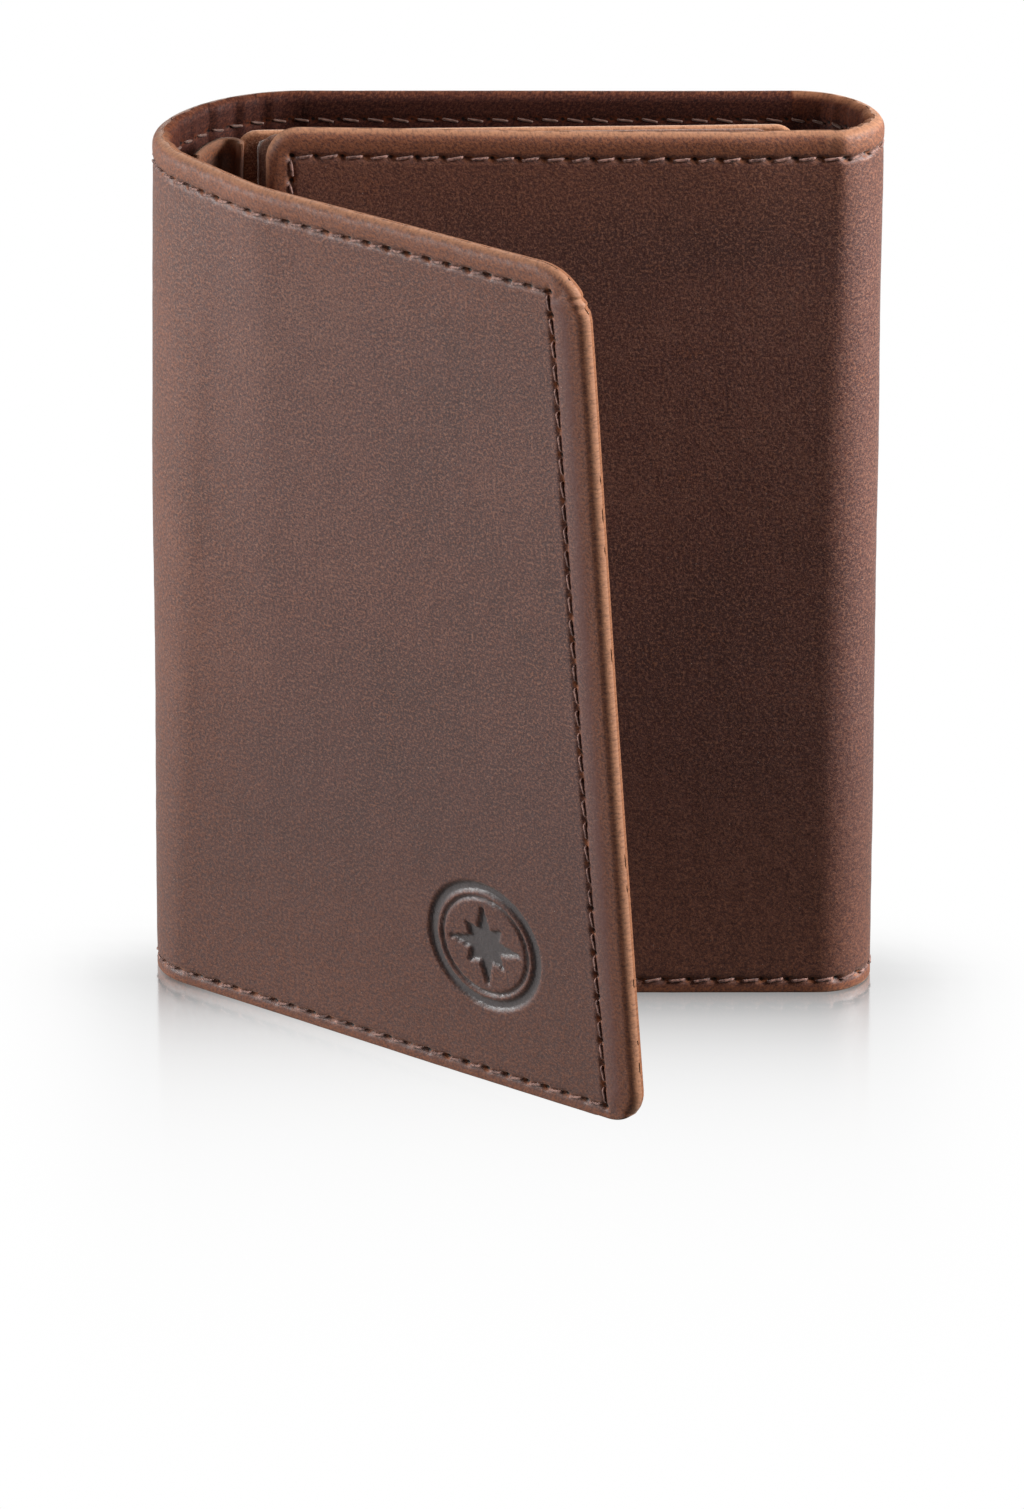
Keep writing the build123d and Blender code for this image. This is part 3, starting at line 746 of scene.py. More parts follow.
wallPieces.append(curledWall())
wallPieces.append(layerPiece("right_back_wall", [], wallDepths, layers["wallLow"], layers["wallHigh"],
                             bendRight(), ["right_spine_divider"],
                             extra=rightCurl[:21]))
wallPieces.append(layerPiece("right_front_wall", runOf("right", -27.9, 26.8, 24), wallDepths,
                             layers["wallLow"], layers["wallHigh"],
                             bendRight(), ["right_flap_divider"],
                             extra=rightCurl[20:][::-1]))
print("stage: note compartment wall", len(wallPieces), "pieces")


# Flat leather: card pockets and the window flap.
def panelMesh(frameAt, u0, u1, v0, v1, d0, d1, corner=0.0, edge=0.3, rough=0.0, step=1.6, sag=0.0):
    # frameAt turns (across, up, depth) into a place; the panel's edges are rounded over and may be rough cut
    edge = min(edge, (d1 - d0) / 2)
    us = spread(edgeMarks(u0, edge, 1) + edgeMarks(u1, edge, -1) + [u0 + corner, u1 - corner], step)
    vs = spread(edgeMarks(v0, edge, 1) + edgeMarks(v1, edge, -1) + [v0 + corner, v1 - corner], step)
    u, v = np.meshgrid(us, vs, indexing="ij")
    side, level = np.minimum(u - u0, u1 - u), np.minimum(v - v0, v1 - v)
    inset = np.minimum(side, level)
    if corner:
        sideR, levelR = roundedCorner(side, level, corner)
        u = np.where(u - u0 < u1 - u, u0 + sideR, u1 - sideR)
        v = np.where(v - v0 < v1 - v, v0 + levelR, v1 - levelR)
    full = roundEdge(inset, edge)
    middle, half = (d0 + d1) / 2, (d1 - d0) / 2
    swell = rough * wave(u, v, u * 0, 1.3) + 0.5 * rough * wave(u, v, u * 0 + 9, 0.5)
    bow = sag * wave(u, v, u * 0 + 4, 22.0)
    front = frameAt(u, v, middle - half * full + bow - swell * full)
    back = frameAt(u, v, middle + half * full + bow + swell * full)
    points, faces = slabMesh(front, back)
    place = np.stack([u, v], -1)
    finish = np.zeros((len(points), 4))
    finish[:, 0] = np.tile(np.exp(-(inset / 0.7) ** 2).ravel(), 2)
    return points, faces, bothSides(place, place + 250.0), finish


def panel(name, body, hidden, slotName, *args, **options):
    points, faces, place, finish = panelMesh(*args, **options)
    piece = makeObject(name, points, faces, body, place, finish, None)
    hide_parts(hidden)
    return piece


def backFrame(u, v, d):
    return np.stack([u, -d, v], -1)


def rightFrame(u, v, d):
    return np.stack([u, shell["rightPlane"] + d, v], -1)


flapLean = math.atan2(float(flapLevel(wallHeight) - flapLevel(0.0)), wallHeight)


def leftFrame(u, v, d):
    level = flapLevel(v) - d / math.cos(flapLean)
    return np.stack([flapAlong[0] * u + flapOut[0] * level, flapAlong[1] * u + flapOut[1] * level, v], -1)


pockets = {
    "depth": 2.95, "thick": 0.68, "pitch": 0.75, "floor": 3.0, "tops": (94.0, 83.0, 72.0),
    "corner": 0.6, "edge": 0.3, "sag": 0.02, "seamIn": 2.4,
}
pocketRows = [
    ("centre", 3, backFrame, "back", -29.0, 29.0, "centre_pocket_"),
    ("left", 3, leftFrame, "left_flap", -5.9, 39.1, "left_pocket_"),
    ("right", 2, rightFrame, "right_flap", -26.2, 25.3, "right_pocket_"),
]
pocketPieces, pocketSeams = [], []
for label, number, frameAt, body, low, high, node in pocketRows:
    for k in range(number):
        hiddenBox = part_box(node + str(k + 1))
        top = hiddenBox[1][2] / mm
        d0 = pockets["depth"] + pockets["pitch"] * k
        if label != "left":
            low, high = hiddenBox[0][0] / mm, hiddenBox[1][0] / mm
        pieceName = label + "_pocket_leather_" + str(k + 1)
        pocketPieces.append(panel(pieceName, body, node + str(k + 1), "inner_leather",
                                  frameAt, low, high, pockets["floor"], top, d0, d0 + pockets["thick"],
                                  corner=pockets["corner"], edge=pockets["edge"], sag=pockets["sag"]))
    pocketSeams.append((label, body, frameAt, low, high, number))
pocketPieces.append(panel("centre_wall", "back", "centre_divider", "inner_leather", backFrame, -29.0, 27.0,
                          layers["wallLow"], layers["wallHigh"], 2.1, 2.9, corner=0.6, edge=0.35, sag=0.02))
print("stage: pockets", len(pocketPieces), "pieces")

windowFlap = {
    "hinge": (32.2, -7.2), "tilt": 2.2, "start": -0.4, "length": 65.0, "low": 8.0, "high": 106.0,
    "border": 9.0, "overhang": 2.5, "corner": 2.4, "leafRough": 0.12,
}
tilt = math.radians(windowFlap["tilt"])


def windowFrame(u, v, d):
    # u runs from the hinge along the flap, d is forward of its middle
    x = windowFlap["hinge"][0] - u * math.cos(tilt) + d * math.sin(tilt)
    y = windowFlap["hinge"][1] - u * math.sin(tilt) - d * math.cos(tilt)
    return np.stack([x, y, v + 0 * x], -1)


leafEnd = windowFlap["start"] + windowFlap["length"]
windowLeaf = panel("window_suede_leaf", "window_flap", "window_back_leaf", "window_leather", windowFrame,
                   windowFlap["start"], leafEnd, windowFlap["low"], windowFlap["high"], -1.12, -0.12,
                   corner=windowFlap["corner"], edge=0.4, rough=windowFlap["leafRough"], step=0.9, sag=0.12)
filmSheet = panel("window_clear_film", "window_flap", "window_film", "clear_film", windowFrame,
                  windowFlap["start"] + 1.0, leafEnd - windowFlap["overhang"] + 0.15, windowFlap["low"] + 0.8,
                  windowFlap["high"] - 0.8, 0.08, 0.36, corner=1.0, edge=0.1, step=3.0)


def ringMesh(frameAt, u0, u1, v0, v1, border, d0, d1, corner, edge, rough):
    # a flat frame with an opening: one closed band swept round the rectangle
    width, tall = u1 - u0, v1 - v0
    cu, cv = (u0 + u1) / 2, (v0 + v1) / 2

    def outline(inset, radius):
        halfU, halfV = width / 2 - inset, tall / 2 - inset
        points = []
        for quarter, (su, sv) in enumerate(((1, 1), (-1, 1), (-1, -1), (1, -1))):
            start = math.radians(90 * quarter)
            for s in np.linspace(0, 1, 9):
                a = start + s * math.pi / 2
                points.append((cu + su * (halfU - radius) + radius * math.cos(a),
                               cv + sv * (halfV - radius) + radius * math.sin(a)))
            nextSigns = ((-1, 1), (-1, -1), (1, -1), (1, 1))[quarter]
            a = start + math.pi / 2
            target = (cu + nextSigns[0] * (halfU - radius) + radius * math.cos(a),
                      cv + nextSigns[1] * (halfV - radius) + radius * math.sin(a))
            last = points[-1]
            for s in np.linspace(0, 1, 44)[1:-1]:
                points.append((last[0] + (target[0] - last[0]) * s, last[1] + (target[1] - last[1]) * s))
        return np.array(points)

    marks = [edge * s for s in roundSteps] + list(np.linspace(edge, border - edge, 9))[1:-1]
    marks += [border - edge * s for s in roundSteps[::-1]]
    sides = []
    for sign in (1, -1):
        band = []
        for m in (marks if sign == 1 else marks[::-1]):
            line = outline(m, max(corner * (1 - m / border) + 1.2 * m / border, 0.3))
            full = roundEdge(np.array(min(m, border - m)), edge)
            middle, half = (d0 + d1) / 2, (d1 - d0) / 2
            swell = rough * wave(line[:, 0], line[:, 1], line[:, 0] * 0, 1.3)
            band.append((line, middle + sign * (half + swell) * full))
        sides += band if sign == 1 else band[1:-1]
    grid = np.array([frameAt(line[:, 0], line[:, 1], depth) for line, depth in sides])
    place = np.array([line for line, depth in sides])
    bands, around = grid.shape[:2]
    i, j = np.meshgrid(np.arange(bands), np.arange(around), indexing="ij")
    after, turn = (i + 1) % bands, (j + 1) % around
    faces = np.stack([i * around + j, i * around + turn, after * around + turn, after * around + j], -1)
    faces = faces.reshape(-1, 4)
    return grid.reshape(-1, 3), faces, place.reshape(-1, 2)


windowU0, windowU1 = windowFlap["start"] + windowFlap["overhang"], leafEnd - windowFlap["overhang"]
points, faces, place = ringMesh(windowFrame, windowU0, windowU1, windowFlap["low"], windowFlap["high"],
                                windowFlap["border"], 0.45, 1.2, windowFlap["corner"], 0.34, 0.03)
finish = np.zeros((len(points), 4))
windowFront = makeObject("window_leather_frame", points, faces, "window_flap", place, finish, None)
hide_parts("window_front_frame")
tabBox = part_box("window_hinge_tab")
hingeTab = panel("window_leather_tab", "back", "window_hinge_tab", "window_leather", backFrame,
                 tabBox[0][0] / mm, tabBox[1][0] / mm, tabBox[0][2] / mm, tabBox[1][2] / mm,
                 -tabBox[1][1] / mm, -tabBox[0][1] / mm, corner=1.0, edge=0.35, rough=0.03, step=1.0)
print("stage: window flap built")


# Every stitch is modelled, and follows the leather it is sewn through.
def twistedStitch(start, end, normal, radius, proud, turns=1.6):
    # two plies twisted together, dipping into the leather at both ends
    start, end, normal = np.array(start), np.array(end), np.array(normal)
    along = end - start
    length = np.linalg.norm(along)
    along = along / length
    side = np.cross(normal, along)
    side /= np.linalg.norm(side)
    up = np.cross(along, side)
    stations, around = 13, 10
    points = []
    for i in range(stations):
        t = i / (stations - 1)
        rise = proud * (1 - (2 * t - 1) ** 4) - (radius + 0.18) * (2 * t - 1) ** 8
        thin = math.sqrt(max(1 - abs(2 * t - 1) ** 6, 0.02))
        for j in range(around):
            a = 2 * math.pi * j / around
            lobes = 0.86 + 0.2 * abs(math.cos(a - turns * math.pi * t))
            r = radius * lobes * thin
            points.append(start + along * length * t + side * r * math.cos(a) + up * (rise + r * math.sin(a)))
    points.append(start - up * (radius + 0.18))
    points.append(end - up * (radius + 0.18))
    faces = []
    for i in range(stations - 1):
        for j in range(around):
            k = (j + 1) % around
            faces.append((i * around + j, i * around + k, (i + 1) * around + k, (i + 1) * around + j))
    last = (stations - 1) * around
    for j in range(0, around, 2):
        k, m = (j + 1) % around, (j + 2) % around
        faces.append((stations * around, m, k, j))
        faces.append((stations * around + 1, last + j, last + k, last + m))
    return np.array(points), np.array(faces)


def rowAt(grid, z):
    # the strip's surface along one height
    j = int(np.clip(np.searchsorted(heights, z) - 1, 0, rows - 2))
    t = (z - heights[j]) / (heights[j + 1] - heights[j])
    return grid[:, j] * (1 - t) + grid[:, j + 1] * t


def columnAt(grid, index, t, z):
    line = grid[index] * (1 - t) + grid[index + 1] * t
    return np.array([np.interp(z, line[:, 2], line[:, axis]) for axis in range(3)])


threads = {}


def addStitch(body, start, end, normal, radius, proud, dark=0.0):
    points, faces = twistedStitch(start, end, normal, radius, proud)
    threads.setdefault(body, []).append((points, faces, np.full(len(points), dark)))


def along(values, lengths, at):
    return np.array([np.interp(at, lengths, values[:, axis]) for axis in range(3)])


bodyOf = [body for kind, value, body in strip]


def seamAlong(z, lengths, start, stop, pitch, grid, sign, radius, proud, dark=0.0):
    line, normals = rowAt(grid, z), rowAt(outward, z) * sign
    n = int(round((stop - start) / pitch))
    for k in range(n):
        a = start + (k + seam["gapShare"]) * pitch
        b = start + (k + 1 - seam["gapShare"]) * pitch
        lean = seam["slant"] * (1 + 0.35 * math.sin(k * 2.4))
        p, q = along(line, lengths, a), along(line, lengths, b)
        p[2] += lean
        q[2] -= lean
        middle = (a + b) / 2
        where = int(np.clip(np.searchsorted(lengths, middle), 0, count - 1))
        addStitch(bodyOf[where], p, q, along(normals, lengths, middle), radius, proud, dark)


seamAlong(topSeam, lengthTop, seamFrom, topTo, topPitch, skin, 1, seam["threadRadius"], seam["proud"])
seamAlong(bottomSeam, lengthBottom, seamFrom, bottomTo, bottomPitch, skin, 1, seam["threadRadius"],
          seam["proud"])
# The inner row, inside the hem, is drawn darker as painted shade.
seamAlong(topSeam - seam["innerDrop"], lengthTop, seamFrom, topTo, topPitch, skinInside, -1,
          seam["threadRadius"] * seam["innerThin"], seam["innerSunk"], dark=1.0)


def seamUp(kind, s, sign):
    indices = [i for i, item in enumerate(strip) if item[0] == kind]
    values = np.array([strip[i][1] for i in indices])
    order = int(np.argmin(np.abs(values - s)))
    order = min(order, len(indices) - 2)
    index = indices[order]
    gap = values[order + 1] - values[order]
    t = (s - values[order]) / gap
    n = int(round((topSeam - bottomSeam) / sidePitch))
    for k in range(n):
        a = bottomSeam + (k + seam["gapShare"]) * sidePitch
        b = bottomSeam + (k + 1 - seam["gapShare"]) * sidePitch
        lean = seam["slant"] * (1 + 0.35 * math.sin(k * 1.9))
        p, q = columnAt(skin, index, t, a), columnAt(skin, index, t, b)
        normal = outward[index, rows // 2]
        side = np.cross(normal, (0, 0, 1.0))
        p, q = p - side * lean * sign, q + side * lean * sign
        addStitch(bodyOf[index], p, q, normal, seam["threadRadius"], seam["proud"])


seamUp("flap", sideSeam, 1)
seamUp("right", rightSide, 1)


def seamOnPanel(body, frameAt, fromPoint, toPoint, depth):
    # a straight row of small stitches on a flat piece; depth is measured to its face
    span = math.dist(fromPoint, toPoint)
    n = max(int(round(span / seam["pitch"])), 1)
    spot = np.array([0.0]), np.array([50.0])
    normal = frameAt(*spot, np.array([-1.0]))[0] - frameAt(*spot, np.array([0.0]))[0]
    for k in range(n):
        ends = []
        for t in ((k + seam["gapShare"]) / n, (k + 1 - seam["gapShare"]) / n):
            u = fromPoint[0] + (toPoint[0] - fromPoint[0]) * t
            v = fromPoint[1] + (toPoint[1] - fromPoint[1]) * t
            ends.append(frameAt(np.array([u]), np.array([v]), np.array([depth]))[0])
        addStitch(body, ends[0], ends[1], normal, seam["panelRadius"], seam["panelProud"])


for label, body, frameAt, low, high, number in pocketSeams:
    faceDepth = pockets["depth"] + pockets["pitch"] * (number - 1)
    inner = pockets["seamIn"]
    shown = pockets["tops"][number - 1] - 3
    seamOnPanel(body, frameAt, (low + inner, pockets["floor"] + 2), (low + inner, shown), faceDepth)
    seamOnPanel(body, frameAt, (high - inner, pockets["floor"] + 2), (high - inner, shown), faceDepth)
    seamOnPanel(body, frameAt, (low + inner, pockets["floor"] + 2), (high - inner, pockets["floor"] + 2),
                faceDepth)


def frontOfWindow(u, v, d):
    return windowFrame(u, v, -d)


edgeIn = windowFlap["border"] - 2.0
corners = [(windowU0 + edgeIn, windowFlap["low"] + edgeIn), (windowU1 - edgeIn, windowFlap["low"] + edgeIn),
           (windowU1 - edgeIn, windowFlap["high"] - edgeIn), (windowU0 + edgeIn, windowFlap["high"] - edgeIn)]
for a, b in zip(corners, corners[1:] + corners[:1]):
    seamOnPanel("window_flap", frontOfWindow, a, b, -1.2)

stitchNodes = {"left_flap": ["left_flap_stitching"], "left_root": ["left_root_stitching"],
               "left_spine": ["left_spine_stitching"], "back": ["back_stitching"],
               "right_spine": ["right_spine_stitching"], "right_flap": ["right_flap_stitching"],
               "window_flap": []}
threadPieces = []
for body, parts in threads.items():
    points, faces, darkness, start = [], [], [], 0
    for p, f, dark in parts:
        points.append(p)
        faces.append(f + start)
        darkness.append(dark)
        start += len(p)
    piece = makeObject(body + "_thread", np.concatenate(points), np.concatenate(faces), body,
                       inside=np.concatenate(darkness))
    if stitchNodes[body]:
        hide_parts(*stitchNodes[body])
    threadPieces.append(piece)
print("stage: thread", {piece.name: len(piece.data.polygons) for piece in threadPieces})


class Nodes:
    # short helpers for building one material's nodes
    def __init__(self, name):
        self.material = bpy.data.materials.new(name)
        self.material.use_nodes = True
        self.tree = self.material.node_tree
        self.shader = self.tree.nodes["Principled BSDF"]

    def add(self, kind, **settings):
        node = self.tree.nodes.new(kind)
        for key, value in settings.items():
            setattr(node, key, value)
        return node

    def link(self, out, into):
        self.tree.links.new(out, into)

    def put(self, socket, value):
        if hasattr(value, "is_output"):
            self.link(value, socket)
        else:
            socket.default_value = value

    def place(self):
        return self.add("ShaderNodeUVMap", uv_map="place").outputs["UV"]

    def scaled(self, vector, scale):
        node = self.add("ShaderNodeVectorMath", operation="MULTIPLY")
        self.put(node.inputs[0], vector)
        node.inputs[1].default_value = scale
        return node.outputs[0]

    def noise(self, vector, scale, detail=3.0, rough=0.55, warp=0.0):
        node = self.add("ShaderNodeTexNoise")
        self.put(node.inputs["Vector"], vector)
        node.inputs["Scale"].default_value = scale
        node.inputs["Detail"].default_value = detail
        node.inputs["Roughness"].default_value = rough
        node.inputs["Distortion"].default_value = warp
        return node.outputs["Fac"]

    def level(self, value, low, high, to0=0.0, to1=1.0):
        node = self.add("ShaderNodeMapRange", interpolation_type="SMOOTHSTEP")
        self.put(node.inputs["Value"], value)
        for key, number in zip(("From Min", "From Max", "To Min", "To Max"), (low, high, to0, to1)):
            node.inputs[key].default_value = number
        return node.outputs["Result"]

    def maths(self, operation, a, b=0.0):
        node = self.add("ShaderNodeMath", operation=operation)
        self.put(node.inputs[0], a)
        self.put(node.inputs[1], b)
        return node.outputs[0]

    def mix(self, share, a, b, blendType="MIX"):
        node = self.add("ShaderNodeMix", data_type="RGBA", blend_type=blendType)
        self.put(node.inputs[0], share)
        for socket, value in ((node.inputs[6], a), (node.inputs[7], b)):
            if hasattr(value, "is_output"):
                self.link(value, socket)
            else:
                socket.default_value = (*value, 1.0)
        return node.outputs[2]

    def finish(self, colour, rough, height=None, strength=0.3, distance=0.00012):
        self.link(colour, self.shader.inputs["Base Color"])
        self.put(self.shader.inputs["Roughness"], rough)
        if height is not None:
            bump = self.add("ShaderNodeBump")
            bump.inputs["Strength"].default_value = strength
            bump.inputs["Distance"].default_value = distance
            self.link(height, bump.inputs["Height"])
            self.link(bump.outputs["Normal"], self.shader.inputs["Normal"])
        return self.material


# The hole colour is painted shade in the stitch holes.
# The inside colour darkens the turned-in side: partly its own untreated tone, partly painted shade.
shellLook = {
    "deep": (0.030, 0.0065, 0.0052), "mid": (0.080, 0.0215, 0.0150), "pale": (0.190, 0.083, 0.052),
    "rust": (0.215, 0.060, 0.014), "tan": (0.35, 0.160, 0.080), "fleck": (0.62, 0.50, 0.42),
    "burnish": (0.075, 0.016, 0.009), "press": (0.040, 0.035, 0.036), "holeShade": (0.006, 0.003, 0.0025),
    "inside": (0.25, 0.155, 0.16), "roughness": (0.46, 0.66), "sheen": 0.18, "specular": 0.48, "grain": 0.5,
}


def leather(name, look, edgeWear=0.75, suede=False):
    n = Nodes(name)
    place = n.place()
    attribute = n.add("ShaderNodeAttribute", attribute_name="finish")
    split = n.add("ShaderNodeSeparateColor")
    n.link(attribute.outputs["Color"], split.inputs[0])
    wear, burnish, press = split.outputs[0], split.outputs[1], split.outputs[2]
    pits = attribute.outputs["Alpha"]
    cloud = n.noise(place, 0.035, 3.0, 0.6, 0.4)
    patch = n.noise(place, 0.22, 4.0, 0.6, 0.3)
    mottle = n.noise(place, 1.1, 4.0, 0.62)
    fibre = n.noise(place, 2.7, 3.0, 0.72)
    dust = n.noise(place, 3.9, 2.0, 0.6)
    grit = n.noise(place, 5.2, 2.0, 0.75)
    across = n.add("ShaderNodeSeparateXYZ")
    n.link(place, across.inputs[0])
    inside = n.add("ShaderNodeAttribute", attribute_name="inside").outputs["Fac"]
    body = n.maths("ADD", n.maths("MULTIPLY", cloud, 0.5), n.maths("MULTIPLY", patch, 0.32))
    body = n.maths("ADD", body, n.maths("MULTIPLY", mottle, 0.18))
    colour = n.mix(n.level(body, 0.36, 0.56, 0.25, 0.85), look["deep"], look["mid"])
    colour = n.mix(n.level(body, 0.5, 0.68, 0.0, 0.3), colour, look["pale"])
    colour = n.mix(n.level(fibre, 0.5, 0.64, 0.0, 0.9), colour, look["pale"])
    colour = n.mix(n.level(fibre, 0.49, 0.37, 0.0, 1.0), colour, look["deep"])
    rustPatch = n.level(n.noise(place, 0.1, 3.0, 0.7), 0.58, 0.78, 0.18, 1.0)
    rustShare = n.maths("MULTIPLY", rustPatch, n.level(fibre, 0.48, 0.62, 0.0, 0.7))
    colour = n.mix(rustShare, colour, look["rust"])
    colour = n.mix(n.level(grit, 0.54, 0.66, 0.0, 0.75), colour, look["pale"])
    colour = n.mix(n.level(grit, 0.46, 0.35, 0.0, 0.95), colour, look["deep"])
    # Painted shade: darker towards the foot.
    colour = n.mix(n.level(across.outputs["Y"], 62.0, 10.0, 0.0, 0.42), colour, look["deep"])    # darker foot
    # Warmer towards the bottom, near the top and across the left fold; the redder bottom is painted shade.
    low = n.level(across.outputs["Y"], 40.0, 0.0, 0.0, 0.3)
    high = n.level(across.outputs["Y"], 92.0, 106.0, 0.0, 0.25)
    fold = n.level(across.outputs["X"], 44.0, 72.0, 0.0, 0.3)
    fold = n.maths("MULTIPLY", fold, n.level(across.outputs["X"], 96.0, 74.0))
    warm = n.maths("MAXIMUM", n.maths("MAXIMUM", low, high), fold)
    warm = n.maths("MULTIPLY", warm, n.level(mottle, 0.36, 0.6, 0.35, 1.0))
    colour = n.mix(n.maths("MULTIPLY", warm, n.level(fibre, 0.36, 0.6, 0.3, 1.0)), colour, look["rust"])
    colour = n.mix(n.level(dust, 0.735, 0.77, 0.0, 0.7), colour, look["fleck"])
    broad = n.maths("MULTIPLY", n.level(wear, 0.02, 0.3, 0.0, 0.55), n.level(fibre, 0.38, 0.62, 0.25, 1.0))
    colour = n.mix(broad, colour, look["rust"])
    worn = n.maths("MULTIPLY", n.level(wear, 0.4, 1.0, 0.0, edgeWear), n.level(fibre, 0.3, 0.6, 0.45, 1.0))
    colour = n.mix(worn, colour, look["tan"])
    rubbed = n.maths("MULTIPLY", burnish, n.level(patch, 0.3, 0.65, 0.35, 0.9))
    colour = n.mix(rubbed, colour, look["burnish"])
    colour = n.mix(n.maths("MULTIPLY", press, 0.9), colour, look["press"])
    tuft = n.maths("MULTIPLY", n.level(pits, 0.04, 0.3), n.level(mottle, 0.42, 0.6, 0.1, 0.9))
    colour = n.mix(tuft, colour, look["rust"])
    # Painted shade: the stitch holes are drawn near black.
    colour = n.mix(n.level(pits, 0.42, 0.8), colour, look["holeShade"])
    # The turned-in side is darkened: partly its own untreated tone, partly painted shade inside the wallet.
    colour = n.mix(n.maths("MULTIPLY", inside, 0.9), colour, look["inside"], "MULTIPLY")
    rough = n.level(mottle, 0.3, 0.7, *look["roughness"])
    rough = n.maths("SUBTRACT", rough, n.maths("MULTIPLY", press, 0.22))
    rough = n.maths("ADD", rough, n.maths("MULTIPLY", wear, 0.2))
    rough = n.maths("ADD", rough, n.maths("MULTIPLY", inside, 0.15))
    height = n.maths("ADD", n.maths("MULTIPLY", fibre, 0.6), n.maths("MULTIPLY", mottle, 0.7))
    n.shader.inputs["Specular IOR Level"].default_value = look["specular"]
    n.shader.inputs["Sheen Weight"].default_value = look["sheen"]
    n.shader.inputs["Sheen Roughness"].default_value = 0.45
    n.shader.inputs["Sheen Tint"].default_value = (0.88, 0.78, 0.68, 1.0)
    return n.finish(colour, rough, height, look["grain"], 0.00016)


innerLook = dict(shellLook, deep=(0.024, 0.0085, 0.006), mid=(0.050, 0.020, 0.013),
                 pale=(0.085, 0.038, 0.025), tan=(0.15, 0.065, 0.03), sheen=0.08, grain=0.35)
# The suede's colours are raised as painted light, so the window leaf's edge, lying in the left flap's shadow,
# looks lit from above-left.
suedeLook = dict(shellLook, deep=(0.070, 0.020, 0.008), mid=(0.23, 0.082, 0.038), pale=(0.40, 0.19, 0.11),
                 tan=(0.40, 0.19, 0.10), sheen=0.35, grain=1.0, roughness=(0.82, 0.95))
shellMaterial = leather("pull_up_leather", shellLook)
# The turned-in side is never polished by a hand.
hemMaterial = leather("turned_in_leather", dict(shellLook, sheen=0.03, specular=0.12))
innerMaterial = leather("inner_leather", innerLook, 0.6)
windowLook = dict(suedeLook, grain=0.5, deep=(0.06, 0.024, 0.016), mid=(0.12, 0.052, 0.036),
                  pale=(0.2, 0.11, 0.08))
windowMaterial = leather("window_leather", windowLook)
suedeMaterial = leather("suede", suedeLook, 0.9)

clothLook = {"dark": (0.020, 0.011, 0.009), "light": (0.042, 0.024, 0.019), "threadsPerMm": 2.6}


def liningCloth():
    n = Nodes("lining_cloth")
    place = n.place()
    weave = []
    for direction in ("X", "Y"):
        wave = n.add("ShaderNodeTexWave", wave_type="BANDS", bands_direction=direction)
        n.link(place, wave.inputs["Vector"])
        wave.inputs["Scale"].default_value = clothLook["threadsPerMm"] / 3.1416 * 1.6
        wave.inputs["Distortion"].default_value = 0.4
        weave.append(wave.outputs["Fac"])
    height = n.maths("MULTIPLY", weave[0], weave[1])
    colour = n.mix(n.maths("MULTIPLY", height, n.level(n.noise(place, 0.4), 0.3, 0.7, 0.6, 1.0)),
                   clothLook["dark"], clothLook["light"])
    n.shader.inputs["Specular IOR Level"].default_value = 0.25
    n.shader.inputs["Sheen Weight"].default_value = 0.15
    return n.finish(colour, 0.78, height, 0.4, 0.00008)


# The hidden colour is painted shade on the inner row of stitches.
threadLook = {"shade": (0.045, 0.016, 0.012), "lit": (0.30, 0.155, 0.12), "hidden": (0.055, 0.018, 0.007)}


def threadMaterial():
    n = Nodes("sewing_thread")
    place = n.add("ShaderNodeTexCoord").outputs["Object"]
    ply = n.noise(n.scaled(place, (1000.0, 1000.0, 1000.0)), 2.4, 3.0, 0.6)
    patch = n.noise(n.scaled(place, (1000.0, 1000.0, 1000.0)), 0.5, 2.0, 0.5)
    share = n.maths("MULTIPLY", n.level(ply, 0.32, 0.62), n.level(patch, 0.25, 0.6, 0.35, 1.0))
    colour = n.mix(share, threadLook["shade"], threadLook["lit"])
    inside = n.add("ShaderNodeAttribute", attribute_name="inside").outputs["Fac"]
    # Painted shade: the inner row of stitches inside the hem is drawn darker.
    colour = n.mix(n.maths("MULTIPLY", inside, 0.85), colour, threadLook["hidden"])
    n.shader.inputs["Specular IOR Level"].default_value = 0.3
    n.shader.inputs["Sheen Weight"].default_value = 0.2
    return n.finish(colour, 0.62, ply, 0.4, 0.00008)


def filmMaterial():
    n = Nodes("clear_film")
    place = n.place()
    cloud = n.noise(place, 0.08, 2.0)
    colour = n.mix(cloud, (0.80, 0.79, 0.77), (0.92, 0.91, 0.89))
    n.shader.inputs["Alpha"].default_value = 0.26
    n.shader.inputs["IOR"].default_value = 1.49
    n.material.surface_render_method = "BLENDED"
    return n.finish(colour, n.level(cloud, 0.3, 0.7, 0.06, 0.16), cloud, 0.08, 0.0004)


def paint(pieces, *materials):
    for piece in pieces:
        for material in materials:
            piece.data.materials.append(material)


paint(outerLeather, shellMaterial, hemMaterial)
paint(liningPieces, liningCloth())
paint(wallPieces + pocketPieces, innerMaterial)
paint([windowLeaf, hingeTab], suedeMaterial)
paint([windowFront], windowMaterial)
paint([filmSheet], filmMaterial())
paint(threadPieces, threadMaterial())
print("stage: materials done")


floorLook = {"gloss": 0.92, "fade": 10.5, "roughness": 0.12, "shade": 0.17}


